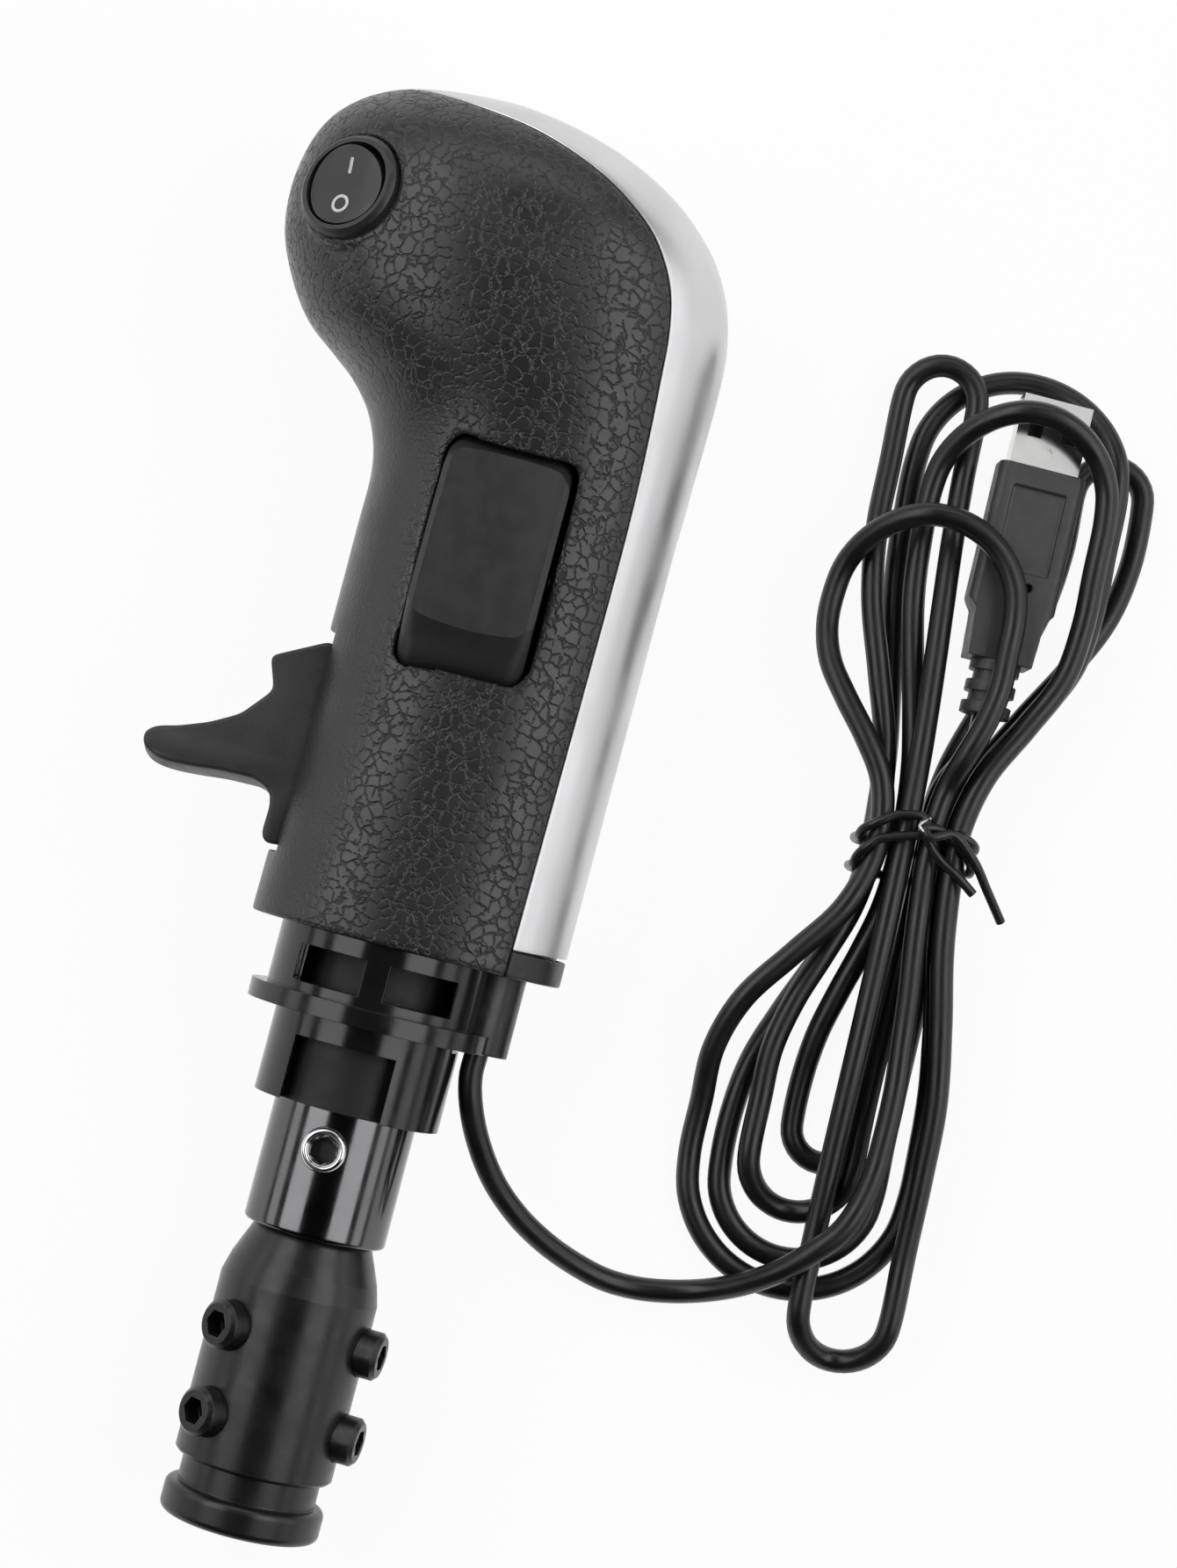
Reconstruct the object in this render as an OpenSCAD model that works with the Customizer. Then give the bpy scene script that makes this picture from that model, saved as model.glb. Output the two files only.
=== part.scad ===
// Gear shifter knob with a range lever, a splitter rocker, a power switch and a tied USB lead.
// Millimetres, +Z up. The knob lies on its palm side: the flange ring and the head touch the table.
// The knob's own frame, before it is laid down, has its axis on +Z, its back on +X, its thumb side on -Y.

/* [Adapter] */
// Diameter of the rounded foot flange
foot_d = 26.6; // [25:0.1:32]
// Height of the foot flange
foot_h = 5.4; // [4:0.1:9]
// Diameter of the groove above the foot
groove_d = 23; // [19:0.1:24]
// Height of the groove
groove_h = 4.5; // [3:0.5:8]
// Diameter of the barrel
barrel_d = 26.3; // [25:0.1:32]
// Height of the barrel
barrel_h = 29.8; // [28:0.1:40]
// Height of the cone above the barrel
cone_h = 9.3; // [6:0.1:14]
// Diameter of the stem in the sleeve
stem_d = 19; // [16:0.1:20]
// Length of the stem in the sleeve
stem_l = 18; // [14:1:30]
// Diameter of the shaft bore
bore_d = 15; // [10:0.1:15.5]
// Depth of the shaft bore
bore_l = 42; // [25:1:46]
// Diameter of a grub screw
grub_d = 8; // [5:0.5:9]
// Width across the flats of a grub screw's socket
grub_hex = 4; // [2:0.5:5]
// How far a grub screw stands out of the barrel
grub_proud = 3.2; // [0.5:0.1:5]
// Height of the lower row of grub screws on the barrel
grub_low = 8.2; // [6:0.1:12]
// Distance between the two rows
grub_pitch = 14.3; // [10:0.1:18]

/* [Sleeve] */
// Outer diameter of the sleeve
sleeve_d = 23.7; // [21:0.1:27]
// Visible length of the sleeve under the core
sleeve_show = 20.8; // [16:0.1:30]
// Diameter of the sleeve's set screw
set_d = 7.5; // [5:0.1:9]
// Height of the set screw above the sleeve's lower end
set_up = 14.5; // [8:0.1:16]

/* [Core] */
// Diameter of the lower tube
tube_d = 31; // [28:0.1:36]
// Height of the lower tube
tube_h = 14.5; // [12:0.5:24]
// Width of the notch in the tube
notch_w = 16.8; // [8:0.1:20]
// Height of the notch
notch_h = 10.6; // [6:0.1:12]
// Diameter of the flange ring
flange_d = 41; // [39:0.1:48]
// Height of the flange ring
flange_h = 3; // [2:0.1:5]
// Outer diameter of the collar
collar_d = 36; // [34:0.1:38]
// Height of the collar
collar_h = 10.5; // [9:0.5:16]
// Wall left behind the notch and the windows
recess_wall = 0.9; // [0.8:0.1:1.6]
// Width of a collar window
window_w = 11.1; // [6:0.1:12]
// Height of a collar window
window_h = 6; // [4:0.1:7]
// Thickness of the spine plate
spine_t = 3; // [2:0.1:4]

/* [Grip] */
// Length of the straight handle from its rim to the neck
handle_len = 74; // [72:0.5:100]
// Reach of the handle's front from the axis
handle_front = 22.6; // [21:0.1:28]
// Reach of the handle's back from the axis
handle_back = 29; // [26:0.1:34]
// Half width of the handle at the rim
rim_half_w = 19.3; // [18.6:0.1:21]
// Half width of the handle at the neck
neck_half_w = 21.2; // [20:0.1:24]
// Half width of the head
head_half_w = 26.2; // [25:0.1:29]
// Wall of the moulded shell
shell_wall = 3.2; // [2.6:0.1:4]
// Thickness of the silver trim
trim_t = 1.6; // [1:0.1:2]
// Gap between the trim's edge and the shell
trim_gap = 0.3; // [0.1:0.1:0.6]
// Height of the black foot under the trim
trim_foot_h = 4.4; // [3:0.1:8]

/* [Splitter rocker] */
// Width of the rocker
split_w = 20.5; // [16:0.1:22]
// Height of the rocker's pivot above the rim
split_up = 63.2; // [60:0.1:66]
// Depth of the rocker's pivot under the handle's side
split_depth = 13; // [12:0.1:14]
// Radius of the rocker's drum
split_r = 21.5; // [20:0.1:24]
// Length of the rocker's flat face
split_face = 27.5; // [24:0.1:32]
// Depth of the hollow across the rocker's face
split_dish = 0.8; // [0.2:0.1:1]
// Tilt of the face at each stop
split_tilt = 10; // [6:0.5:12]
// Gap round the rocker
split_gap = 0.35; // [0.3:0.05:0.6]
// Diameter of the rocker's pin
split_pin_d = 3; // [2:0.1:4]

/* [Range lever] */
// Width of the lever
lever_w = 14; // [10:0.1:15]
// Reach of the lever's pivot in front of the axis
lever_pivot_x = 12.5; // [12:0.1:13]
// Height of the lever's pivot above the rim
lever_up = 26; // [24:0.1:32]
// Gap on each side of the lever
lever_gap = 0.4; // [0.3:0.05:0.8]
// Diameter of the lever's pin
lever_pin_d = 3; // [2:0.1:4]

/* [Power switch] */
// Diameter of the switch's bezel
bezel_d = 17.6; // [16.5:0.1:19]
// Height of the bezel above its seat
bezel_h = 2.2; // [1.5:0.1:3]
// Diameter of the switch's barrel
switch_d = 16; // [15.6:0.1:16.4]
// Diameter of the rocking button
button_d = 13.2; // [11:0.1:13.3]
// Swing of the switch's face to the front
switch_turn = 30; // [20:1:36]
// Swing of the switch's face to the crown
switch_pitch = 8; // [0:1:14]

/* [Lead] */
// Diameter of the lead
cable_d = 4; // [3:0.1:4.2]
// Width of the plug's overmould
plug_w = 15; // [13:0.1:16]
// Thickness of the plug's overmould
plug_t = 7.6; // [6:0.1:8]
// Length of the plug's overmould
plug_l = 33.7; // [26:0.1:36]

/* [Hidden] */
$fn = 64;
eps = 0.01;
// Radial clearance of a pin in its bore, and of a screw or block in its seat
pin_clear = 0.05;
seat_clear = 0.05;

// Stack of heights on the knob's axis
groove_z = foot_h;
barrel_z = groove_z + groove_h;
cone_z = barrel_z + barrel_h;
sleeve_z = cone_z + cone_h;
tube_z = sleeve_z + sleeve_show;
flange_z = tube_z + tube_h;
collar_z = flange_z + flange_h;
rim_z = collar_z + collar_h;
neck_z = rim_z + handle_len;
sleeve_top = rim_z + 2;
deck_h = 4;
deck_top = rim_z + deck_h;

// Head stations: height above the neck, front, back, half width as a share of the head's, roundness
head_h = 65.3;
HEAD = [
    [5, -23.5, 29.3, 0.82, 2.6], [10.5, -26, 29.4, 0.845, 2.5], [15, -29.8, 29.5, 0.876, 2.45],
    [18.5, -34.2, 29.6, 0.904, 2.4], [22.5, -39.3, 29.7, 0.934, 2.35], [28.6, -43.6, 29.7, 0.972, 2.3],
    [35.5, -46.6, 29.1, 0.998, 2.25], [42.4, -47.4, 27.1, 0.996, 2.2], [48, -46.8, 23.9, 0.962, 2.2],
    [52, -45.7, 20.2, 0.905, 2.2], [55.5, -43.9, 16, 0.825, 2.2], [58.5, -41.3, 11, 0.72, 2.15],
    [61, -38, 5.5, 0.6, 2.1], [63, -33.5, -1.4, 0.455, 2.1], [64.3, -28, -8, 0.3, 2],
    [head_h, -22, -13, 0.13, 2]
];
// Handle stations from the rim to the neck: share of the length, share of the way to the neck's width
HANDLE = [0, 0.14, 0.34, 0.62, 0.88, 1];
function handle_station(s) = [
    rim_z + s * handle_len, -handle_front - 0.7 * (1 - min(1, s / 0.62)), handle_back + 0.3 * (s - 0.5),
    rim_half_w + (neck_half_w - rim_half_w) * s, 2.6
];
function head_station(h) = [neck_z + h[0], h[1], h[2], head_half_w * h[3], h[4]];
STATIONS = concat([for (s = HANDLE) handle_station(s)], [for (h = HEAD) head_station(h)]);
section_sides = 36;
widest_x = 1;
crown_start = 42;

// Resting tilt that lets the flange ring and the head's widest station touch the table together
foot_round = 1.3;
widest = HEAD[6];
rest_tilt = atan((head_half_w * widest[3] - flange_d / 2) / (neck_z + widest[0] - flange_z));
rest_lift = flange_d / 2 * cos(rest_tilt) - flange_z * sin(rest_tilt);
centre_x = 9;
centre_y = -118.228;

// Trim edge on the grip's side, from its foot to the crown: x and height above the neck
TRIM_EDGE = [
    [20.6, -23], [20.8, -1.2], [20.6, 9.6], [19.9, 23.8], [19.2, 32.6], [17.6, 39.1], [13.6, 45.8],
    [7.7, 50.9], [-0.3, 55.3], [-10.1, 58.8], [-20.5, 60.8], [-31, 62.6]
];
trim_low_x = 19.8;

// Splitter rocker derived sizes
split_z = rim_z + split_up;
handle_half_w = rim_half_w + (neck_half_w - rim_half_w) * split_up / handle_len;
split_y = -(handle_half_w - split_depth);
split_face_v = sqrt(pow(split_r, 2) - pow(split_face / 2, 2));
split_x = 0.2;
split_edge = 2.8;
split_bevel = 0.9;
dish_r = (pow(split_w / 2 - split_bevel, 2) + pow(split_dish, 2)) / (2 * split_dish);
split_wall = 2;
cheek_r = 4.2;
ear_t = 2;
ear_gap = 0.3;
ear_x = split_w / 2 + ear_gap;

// Range lever derived sizes
lever_z = rim_z + lever_up;
lever_hub_r = 4.2;
lever_ear_y = lever_w / 2 + lever_gap + 0.2;
slot_low = -15.8;
slot_high = 21.4;

// Power switch derived sizes: centre of its seat on the head
switch_seat = [-35.6, -18.1, neck_z + 42];
button_h = 7.2;
button_sink = 3;
button_pivot = -1.2;
button_rest_tilt = 5.5;
button_pin_d = 1.6;
switch_wall = 0.7;

// Spine, board and inner pieces
spine_y = 2;
spine_front = -2;
spine_back = 16;
spine_top = neck_z + 22;
board_y = spine_y + spine_t + 3;
board_t = 1.6;
screw_up = [24, 50, 84];

// Gland and lead
gland_x = 17.6;
gland_r = 5.8;
gland_front = 12.6;
lead_x = 18.4;

// Hank: its waist on the table, its turn, and the packing of its strands there
hank_at = [90, 18.4];
hank_turn = 2.4;
strand_pitch = 4.5;
first_layer = 3.7;
waist_half = 4;
run_rings = 6;
arc_rings = 9;
// Loops in order: side, reach, column and layer in, column and layer out, offset in and out,
// height at the arc's start, apex and end, spread in and out, rise in
LOOPS = [
    [1, 54.5, 2, 2, 0, 2, 8, -22, 17.2, 17.4, 7, 1.4, 1.2, 2.3],
    [-1, 78, 0, 2, 3, 1, -26, 12, 2.1, 2.1, 2.6, 1.5, 1.2, 1],
    [1, 83, 3, 1, 0, 0, 22, -12.5, 7.6, 2.1, 2.1, 1.6, 1.2, 1],
    [-1, 73, 0, 0, 3, 0, -20.5, 6, 2.1, 2.1, 2.1, 1.2, 1.2, 1],
    [1, 72, 3, 0, 2, 0, 27.5, 15.5, 2.1, 2.1, 2.1, 1.2, 1.2, 1],
    [-1, 56, 2, 0, 1, 1, 1.5, -10, 2.1, 2.1, 2.1, 1.2, 1.2, 1],
    [1, 75, 1, 1, 3, 2, -9.4, 20, 8.4, 17.6, 14, 1.2, 1.6, 1],
    [-1, 88, 3, 2, 1, 2, 12.5, -3, 7.2, 2.6, 7.8, 1.7, 1.2, 1],
    [1, 82, 1, 2, 0, 1, -4.4, -17, 6.8, 6.8, 4.8, 1.2, 1.5, 1],
    [-1, 65, 0, 1, 2, 1, -16.5, 1, 6.8, 2.4, 6.8, 1.4, 1.2, 1]
];
lead_slot = [2, 2];
tail_slot = [2, 1];

// Plug: where the lead meets it in the hank's frame, its swing and its roll
plug_at = [23.7, 6.9, 10.4];
plug_swing = -1.6;
plug_roll = 3;
relief_l = 9.2;
relief_d = 8.6;
usb_w = 12;
usb_t = 4.5;
usb_l = 12.3;
usb_wall = 0.45;

// Wire tie round the hank's waist
tie_d = 1.4;
tie_gap = 0.3;
tie_pitch = 2.2;

// Free stretch of the lead from the gland to the hank, on the table's frame
LEAD_ROUTE = [
    [28.6, -42.6, 19.4], [31.2, -48.1, 17.2], [35.5, -54.1, 14.2], [41, -58.9, 11.2], [46.5, -62.1, 8.4],
    [52, -64.3, 5.8], [57.5, -65.7, 3.8], [63, -65.9, 2.6], [68.5, -65.1, 2.5], [74, -63.5, 3.6],
    [79.5, -60.9, 6.8], [84.9, -57.1, 10.6], [89.3, -52.7, 13], [93.2, -48.1, 13.6], [95.2, -43.5, 13.6],
    [96.4, -37.8, 13.3], [96.7, -32.1, 13], [96.6, -23.1, 12.7], [95.8, -14.9, 12.7], [94.9, -6.4, 12.7],
    [93.7, 2.5, 12.7]
];

// Egg-shaped section of the grip, pulled in by an inset
function lobe(c, n) = sign(c) * pow(abs(c), 2 / n);
function egg(front, back, half_w, n) = [
    for (i = [0:section_sides - 1])
        let (
            a = 360 * i / section_sides, c = lobe(cos(a), n), s = lobe(sin(a), n),
            mid = widest_mid(front, back)
        )
            [c > 0 ? mid + c * (back - mid) : mid + c * (mid - front), s * half_w]
];
function widest_mid(front, back) = (front + back) / 2 * 0.8 + widest_x * 0.2;

function station_ring(st, inset) =
    let (
        crown = max(0, (st[0] - neck_z - crown_start) / (head_h - crown_start)),
        shrink = min(inset, st[3] * 0.7),
        outline = egg(st[1] + shrink, st[2] - shrink, st[3] - shrink, st[4])
    )
        [for (p = outline) [p[0], p[1], st[0] - inset * crown]];

// Convex step between two station rings
module grip_step(low, high) {
    n = section_sides;
    hull()
        polyhedron(
            points = concat(low, high),
            faces = concat(
                [[for (k = [0:n - 1]) k]], [[for (k = [0:n - 1]) 2 * n - 1 - k]],
                [for (k = [0:n - 1]) [k, k + n, (k + 1) % n + n, (k + 1) % n]]
            )
        );
}

// Solid form of the grip; pulled in by an inset it also runs out below the rim, to cut the lower end open
module grip_loft(inset) {
    first = STATIONS[0];
    below = [first[0] - 2, first[1], first[2], first[3], first[4]];
    levels = inset > 0 ? concat([below], STATIONS) : STATIONS;
    for (i = [0:len(levels) - 2])
        grip_step(station_ring(levels[i], inset), station_ring(levels[i + 1], inset));
}

// Prism beyond the trim's edge; gap moves the edge outwards
module trim_zone(low_z, gap) {
    shift = gap * 0.7;
    side = [for (p = TRIM_EDGE) [p[0] + shift, neck_z + p[1] + shift]];
    edge = concat([[trim_low_x + gap, low_z]], side);
    last = edge[len(edge) - 1];
    rotate([90, 0, 0])
        linear_extrude(80, center = true)
            polygon(concat(edge, [[last[0], neck_z + 80], [60, neck_z + 80], [60, low_z]]));
}

// Lays the upright knob on the table
module laid() {
    translate([centre_x, centre_y, rest_lift])
        rotate([-90 + rest_tilt, 0, 0])
            children();
}

// Puts children at the power switch's seat, +Z out of the head, +Y towards the crown
module at_switch() {
    translate(switch_seat)
        rotate([0, 0, -switch_turn])
            rotate([90 - switch_pitch, 0, 0])
                children();
}

// Rounded disc on the X axis: the body of the splitter rocker and the cut that lets it through the shell
module split_drum(grow) {
    half = split_w / 2 + grow;
    r = split_r + grow;
    rotate([0, 90, 0])
        rotate_extrude($fn = 128) {
            translate([0, -half + split_edge]) square([r, 2 * (half - split_edge)]);
            translate([0, -half]) square([r - split_edge, 2 * half]);
            for (side = [-1, 1])
                translate([r - split_edge, side * (half - split_edge)]) circle(split_edge, $fn = 32);
        }
}

module at_split() {
    translate([split_x, split_y, split_z]) children();
}

// Bore or pin along X through the splitter's parts
module x_rod(d, from, to) {
    translate([from, 0, 0]) rotate([0, 90, 0]) cylinder(d = d, h = to - from);
}

// Bore or pin along Y through the lever's parts
module y_rod(d, half) {
    rotate([90, 0, 0]) cylinder(d = d, h = 2 * half, center = true);
}

module grip_shell() {
    color("#454545")
        laid()
            difference() {
                union() {
                    difference() {
                        grip_loft(0);
                        intersection() {
                            difference() {
                                around_shell();
                                grip_loft(trim_t);
                            }
                            trim_zone(rim_z - 1, 0);
                        }
                    }
                    at_switch() translate([0, 0, -6]) cylinder(d = bezel_d + 1.6, h = 6);
                }
                difference() {
                    grip_loft(shell_wall);
                    at_switch() translate([0, 0, -6]) cylinder(d = bezel_d + 1.6, h = 20);
                }
                at_switch() translate([0, 0, -20]) cylinder(d = switch_d + 2 * seat_clear, h = 40);
                at_switch() cylinder(d = bezel_d + 0.8, h = 20);
                at_split() split_drum(split_gap);
                lever_slot();
                shell_screw_holes();
            }
}

module around_shell() {
    translate([-80, -60, rim_z - 2]) cube([160, 120, 180]);
}

module lever_slot() {
    translate([-60, -lever_w / 2 - lever_gap, lever_z + slot_low])
        cube([60 - lever_pivot_x, lever_w + 2 * lever_gap, slot_high - slot_low]);
}

module shell_screw_holes() {
    for (up = screw_up)
        translate([0, spine_y + spine_t / 2, rim_z + up]) x_rod(3.4, handle_back - 8, handle_back + 4);
}

module back_trim() {
    color("#c9ccd0")
        laid()
            intersection() {
                difference() {
                    grip_loft(0);
                    grip_loft(trim_t);
                }
                trim_zone(rim_z + trim_foot_h, trim_gap);
            }
}

module trim_foot() {
    color("#1c1c1e")
        laid()
            intersection() {
                difference() {
                    grip_loft(0);
                    grip_loft(trim_t);
                    trim_zone(rim_z + trim_foot_h, -3);
                }
                trim_zone(rim_z - 1, trim_gap);
            }
}

// Two pairs of windows in the collar, on the thumb and palm sides
module collar_windows() {
    for (side = [0, 180], x = [-1, 1])
        rotate([0, 0, side])
            translate([x * (window_w / 2 + 2) - window_w / 2, -collar_d, collar_z + 1.6])
                cube([window_w, collar_d, window_h]);
}

// Round wall round the sleeve that the recesses in the core stop at
module recess_floor(z, h) {
    translate([0, 0, z - 2]) cylinder(d = sleeve_d + 2 * (seat_clear + recess_wall), h = h + 4);
}

module gland_outline(grow) {
    translate([gland_x, 0]) circle(gland_r + grow);
    translate([gland_front - grow, -gland_r - grow])
        square([gland_x - gland_front + grow, 2 * (gland_r + grow)]);
}

module core_frame() {
    color("#17181a")
        laid()
            difference() {
                union() {
                    translate([0, 0, tube_z]) cylinder(d = tube_d, h = tube_h);
                    translate([0, 0, flange_z]) cylinder(d = flange_d, h = flange_h);
                    difference() {
                        translate([0, 0, collar_z]) cylinder(d = collar_d, h = collar_h);
                        difference() {
                            collar_windows();
                            recess_floor(collar_z, collar_h);
                        }
                    }
                    translate([0, 0, rim_z]) cylinder(d = 2 * (rim_half_w - shell_wall - 0.3), h = deck_h);
                    spine();
                }
                translate([0, 0, tube_z - 1])
                    cylinder(d = sleeve_d + 2 * seat_clear, h = sleeve_top - tube_z + 1);
                difference() {
                    translate([-notch_w / 2 - 2, -tube_d, tube_z - 1]) cube([notch_w, tube_d, notch_h + 1]);
                    recess_floor(tube_z, notch_h);
                }
                translate([0, 0, flange_z - 1])
                    linear_extrude(collar_h + flange_h + 1)
                        gland_outline(seat_clear);
            }
}

// Plate that stands on the deck and carries the switches, the board and the shell's screws
module spine() {
    spine_low = deck_top - 1;
    difference() {
        translate([spine_front, spine_y, spine_low])
            cube([spine_back - spine_front, spine_t, spine_top - spine_low]);
        for (up = [24, 42, 76])
            translate([6, spine_y + spine_t / 2, rim_z + up]) y_rod(8, spine_t);
    }
    for (up = screw_up)
        translate([0, spine_y + spine_t / 2, rim_z + up])
            difference() {
                x_rod(7, spine_back - 3, handle_back - shell_wall - 1.6);
                x_rod(2.6, spine_back - 2, handle_back);
            }
    for (up = [26, 74])
        translate([2, spine_y + spine_t - eps, rim_z + up])
            rotate([-90, 0, 0])
                cylinder(d = 5, h = board_y - spine_y - spine_t + eps);
}

module cable_gland() {
    color("#222325")
        laid()
            difference() {
                translate([0, 0, flange_z]) linear_extrude(collar_h + flange_h - seat_clear) gland_outline(0);
                translate([lead_x, 0, flange_z + 6]) cylinder(d = cable_d + 0.4, h = collar_h + flange_h);
                translate([0, 0, flange_z - 1]) cylinder(d = sleeve_d + 2, h = collar_h + flange_h + 2);
            }
}

module clamp_sleeve() {
    chamfer = 0.6;
    color("#6f7276")
        laid()
            difference() {
                rotate_extrude()
                    polygon([
                        [stem_d / 2 + seat_clear, sleeve_z], [sleeve_d / 2 - chamfer, sleeve_z],
                        [sleeve_d / 2, sleeve_z + chamfer], [sleeve_d / 2, sleeve_top],
                        [stem_d / 2 + seat_clear, sleeve_top]
                    ]);
                at_set_screw() translate([0, 0, stem_d / 2 - 3]) cylinder(d = set_d + 2 * seat_clear, h = 20);
            }
}

// Radial place of the set screw, +Z outwards
module at_set_screw() {
    translate([0, 0, sleeve_z + set_up]) rotate([0, 0, -6]) rotate([90, 0, 0]) children();
}

// Headless screw along +Z from r0 to r1 with a hexagon socket in its outer end
module grub(d, r0, r1, hex) {
    chamfer = 0.7;
    difference() {
        rotate_extrude()
            polygon([
                [0, r0], [d / 2 - chamfer, r0], [d / 2, r0 + chamfer], [d / 2, r1 - chamfer],
                [d / 2 - chamfer, r1], [0, r1]
            ]);
        translate([0, 0, r1 - 3.2]) cylinder(d = hex / cos(30), h = 4, $fn = 6);
    }
}

module sleeve_screw() {
    color("#d9dadb") laid() at_set_screw() grub(set_d, stem_d / 2 + 0.25, sleeve_d / 2 + 1.2, grub_hex);
}

// Radial places of the grub screws, +Z outwards
module at_grubs() {
    for (row = [0, 1], turn = [-42, 78, 198])
        translate([0, 0, barrel_z + grub_low + row * grub_pitch])
            rotate([0, 0, turn])
                rotate([90, 0, 0])
                    children();
}

module shaft_adapter() {
    color("#232425")
        laid()
            difference() {
                rotate_extrude() adapter_profile();
                translate([0, 0, -1]) cylinder(d = bore_d, h = bore_l + 1);
                at_grubs() cylinder(d = grub_d + 2 * seat_clear, h = barrel_d);
            }
}

// Half section of the adapter: rounded foot, groove, barrel, swelling cone and stem
module adapter_profile() {
    difference() {
        union() {
            translate([0, foot_round]) square([foot_d / 2, foot_h - 2 * foot_round]);
            square([foot_d / 2 - foot_round, foot_h]);
            for (z = [foot_round, foot_h - foot_round])
                translate([foot_d / 2 - foot_round, z]) circle(foot_round, $fn = 32);
            translate([0, groove_z - eps]) square([groove_d / 2, groove_h + 2 * eps]);
            polygon([
                [0, barrel_z], [barrel_d / 2 - 0.5, barrel_z],
                [barrel_d / 2, barrel_z + 0.5], [barrel_d / 2, cone_z],
                [barrel_d / 2 - 0.9, cone_z + cone_h * 0.36], [stem_d / 2 + 0.4, sleeve_z - 0.3],
                [stem_d / 2, sleeve_z - 0.3], [stem_d / 2, sleeve_z + stem_l], [0, sleeve_z + stem_l]
            ]);
        }
        translate([-foot_d, -1]) square([foot_d, sleeve_z + stem_l + 2]);
    }
}

module adapter_screws() {
    color("#2b2c2d") laid() at_grubs() grub(grub_d, bore_d / 2 + 0.3, barrel_d / 2 + grub_proud, grub_hex);
}

module power_switch_body() {
    color("#2a2a2b")
        laid()
            at_switch()
                difference() {
                    union() {
                        rotate_extrude()
                            polygon([
                                [0, 0], [bezel_d / 2, 0], [bezel_d / 2, bezel_h - 0.8],
                                [bezel_d / 2 - 0.8, bezel_h], [0, bezel_h]
                            ]);
                        translate([0, 0, -11]) cylinder(d = switch_d, h = 11.5);
                    }
                    translate([0, 0, -8]) cylinder(d = switch_d - 2 * switch_wall, h = 20);
                    translate([0, 0, button_pivot]) x_rod(button_pin_d + 2 * pin_clear, -switch_d, switch_d);
                }
}

module power_switch_terminals() {
    color("#b9a36a")
        laid()
            at_switch()
                for (y = [-3.2, 3.2])
                    translate([-2.4, y - 0.4, -18]) cube([4.8, 0.8, 7]);
}

// Round button whose face is a shallow trough across the rocking axis
module power_rocker() {
    trough_r = 26;
    color("#303031")
        laid()
            at_switch()
                translate([0, 0, button_pivot])
                    rotate([button_rest_tilt, 0, 0])
                        difference() {
                            union() {
                                translate([0, 0, -button_sink]) cylinder(d = button_d, h = button_h);
                                x_rod(button_pin_d, -switch_d / 2 + 0.35, switch_d / 2 - 0.35);
                            }
                            translate([0, 0, button_h - button_sink - 1.1 + trough_r])
                                x_rod(2 * trough_r, -10, 10);
                        }
}

// Bracket on the spine with two ears for the splitter's pin
module splitter_housing() {
    base_t = 1.6;
    color("#3a3b3d")
        laid()
            difference() {
                union() {
                    translate([split_x - ear_x - ear_t, spine_y - base_t, split_z - 15])
                        cube([2 * (ear_x + ear_t), base_t, 30]);
                    for (side = [-1, 1])
                        at_split()
                            translate([side * (ear_x + ear_t / 2), 0, 0]) {
                                x_rod(2 * cheek_r, -ear_t / 2, ear_t / 2);
                                translate([-ear_t / 2, 0, -cheek_r])
                                    cube([ear_t, spine_y - split_y - base_t + eps, 2 * cheek_r]);
                            }
                }
                at_split() x_rod(split_pin_d, -split_w, split_w);
            }
}

module splitter_pin() {
    color("#b5b7ba") laid() at_split() x_rod(split_pin_d, -ear_x - ear_t, ear_x + ear_t);
}

// Section of the rocker across its length, bevelled at its face
module rocker_section(low_v) {
    half = split_w / 2;
    shoulder = split_face_v - split_bevel;
    polygon([
        [-half, -low_v], [half, -low_v], [half, -shoulder], [half - split_bevel, -split_face_v],
        [-half + split_bevel, -split_face_v], [-half, -shoulder]
    ]);
}

// Hollow drum sector with a dished face on two pivot cheeks
module splitter_rocker() {
    half = split_w / 2;
    low_v = 4;
    color("#373738")
        laid()
            at_split()
                rotate([-split_tilt, 0, 0])
                    difference() {
                        union() {
                            intersection() {
                                split_drum(0);
                                translate([0, 0, -split_r]) linear_extrude(2 * split_r) rocker_section(low_v);
                            }
                            for (side = [-1, 1])
                                translate([side * (half - split_wall / 2), 0, 0]) {
                                    x_rod(2 * cheek_r, -split_wall / 2, split_wall / 2);
                                    translate([-split_wall / 2, -low_v - 1, -cheek_r])
                                        cube([split_wall, low_v + 1, 2 * cheek_r]);
                                }
                        }
                        translate([0, -split_face_v + split_dish - dish_r, 0])
                            cylinder(r = dish_r, h = 3 * split_r, center = true);
                        rocker_hollow();
                        x_rod(split_pin_d + 2 * pin_clear, -split_w, split_w);
                    }
}

// Room inside the rocker for its switch
module rocker_hollow() {
    wide = split_w - 2 * split_wall;
    long = split_face - 2 * split_wall;
    translate([-wide / 2, -split_face_v + split_dish + split_wall, -long / 2])
        cube([wide, split_face_v, long]);
}

// Small switch block with a button on its -Y face
module micro_switch() {
    color("#1f1f20") {
        translate([-2.9, 0, -6.4]) cube([5.8, 6.4, 12.8]);
        translate([-1.4, -1, 2]) cube([2.8, 1 + eps, 2]);
    }
}

module splitter_switch() {
    laid() translate([split_x, spine_y - 1.6 - 6.4, split_z]) micro_switch();
}

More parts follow.
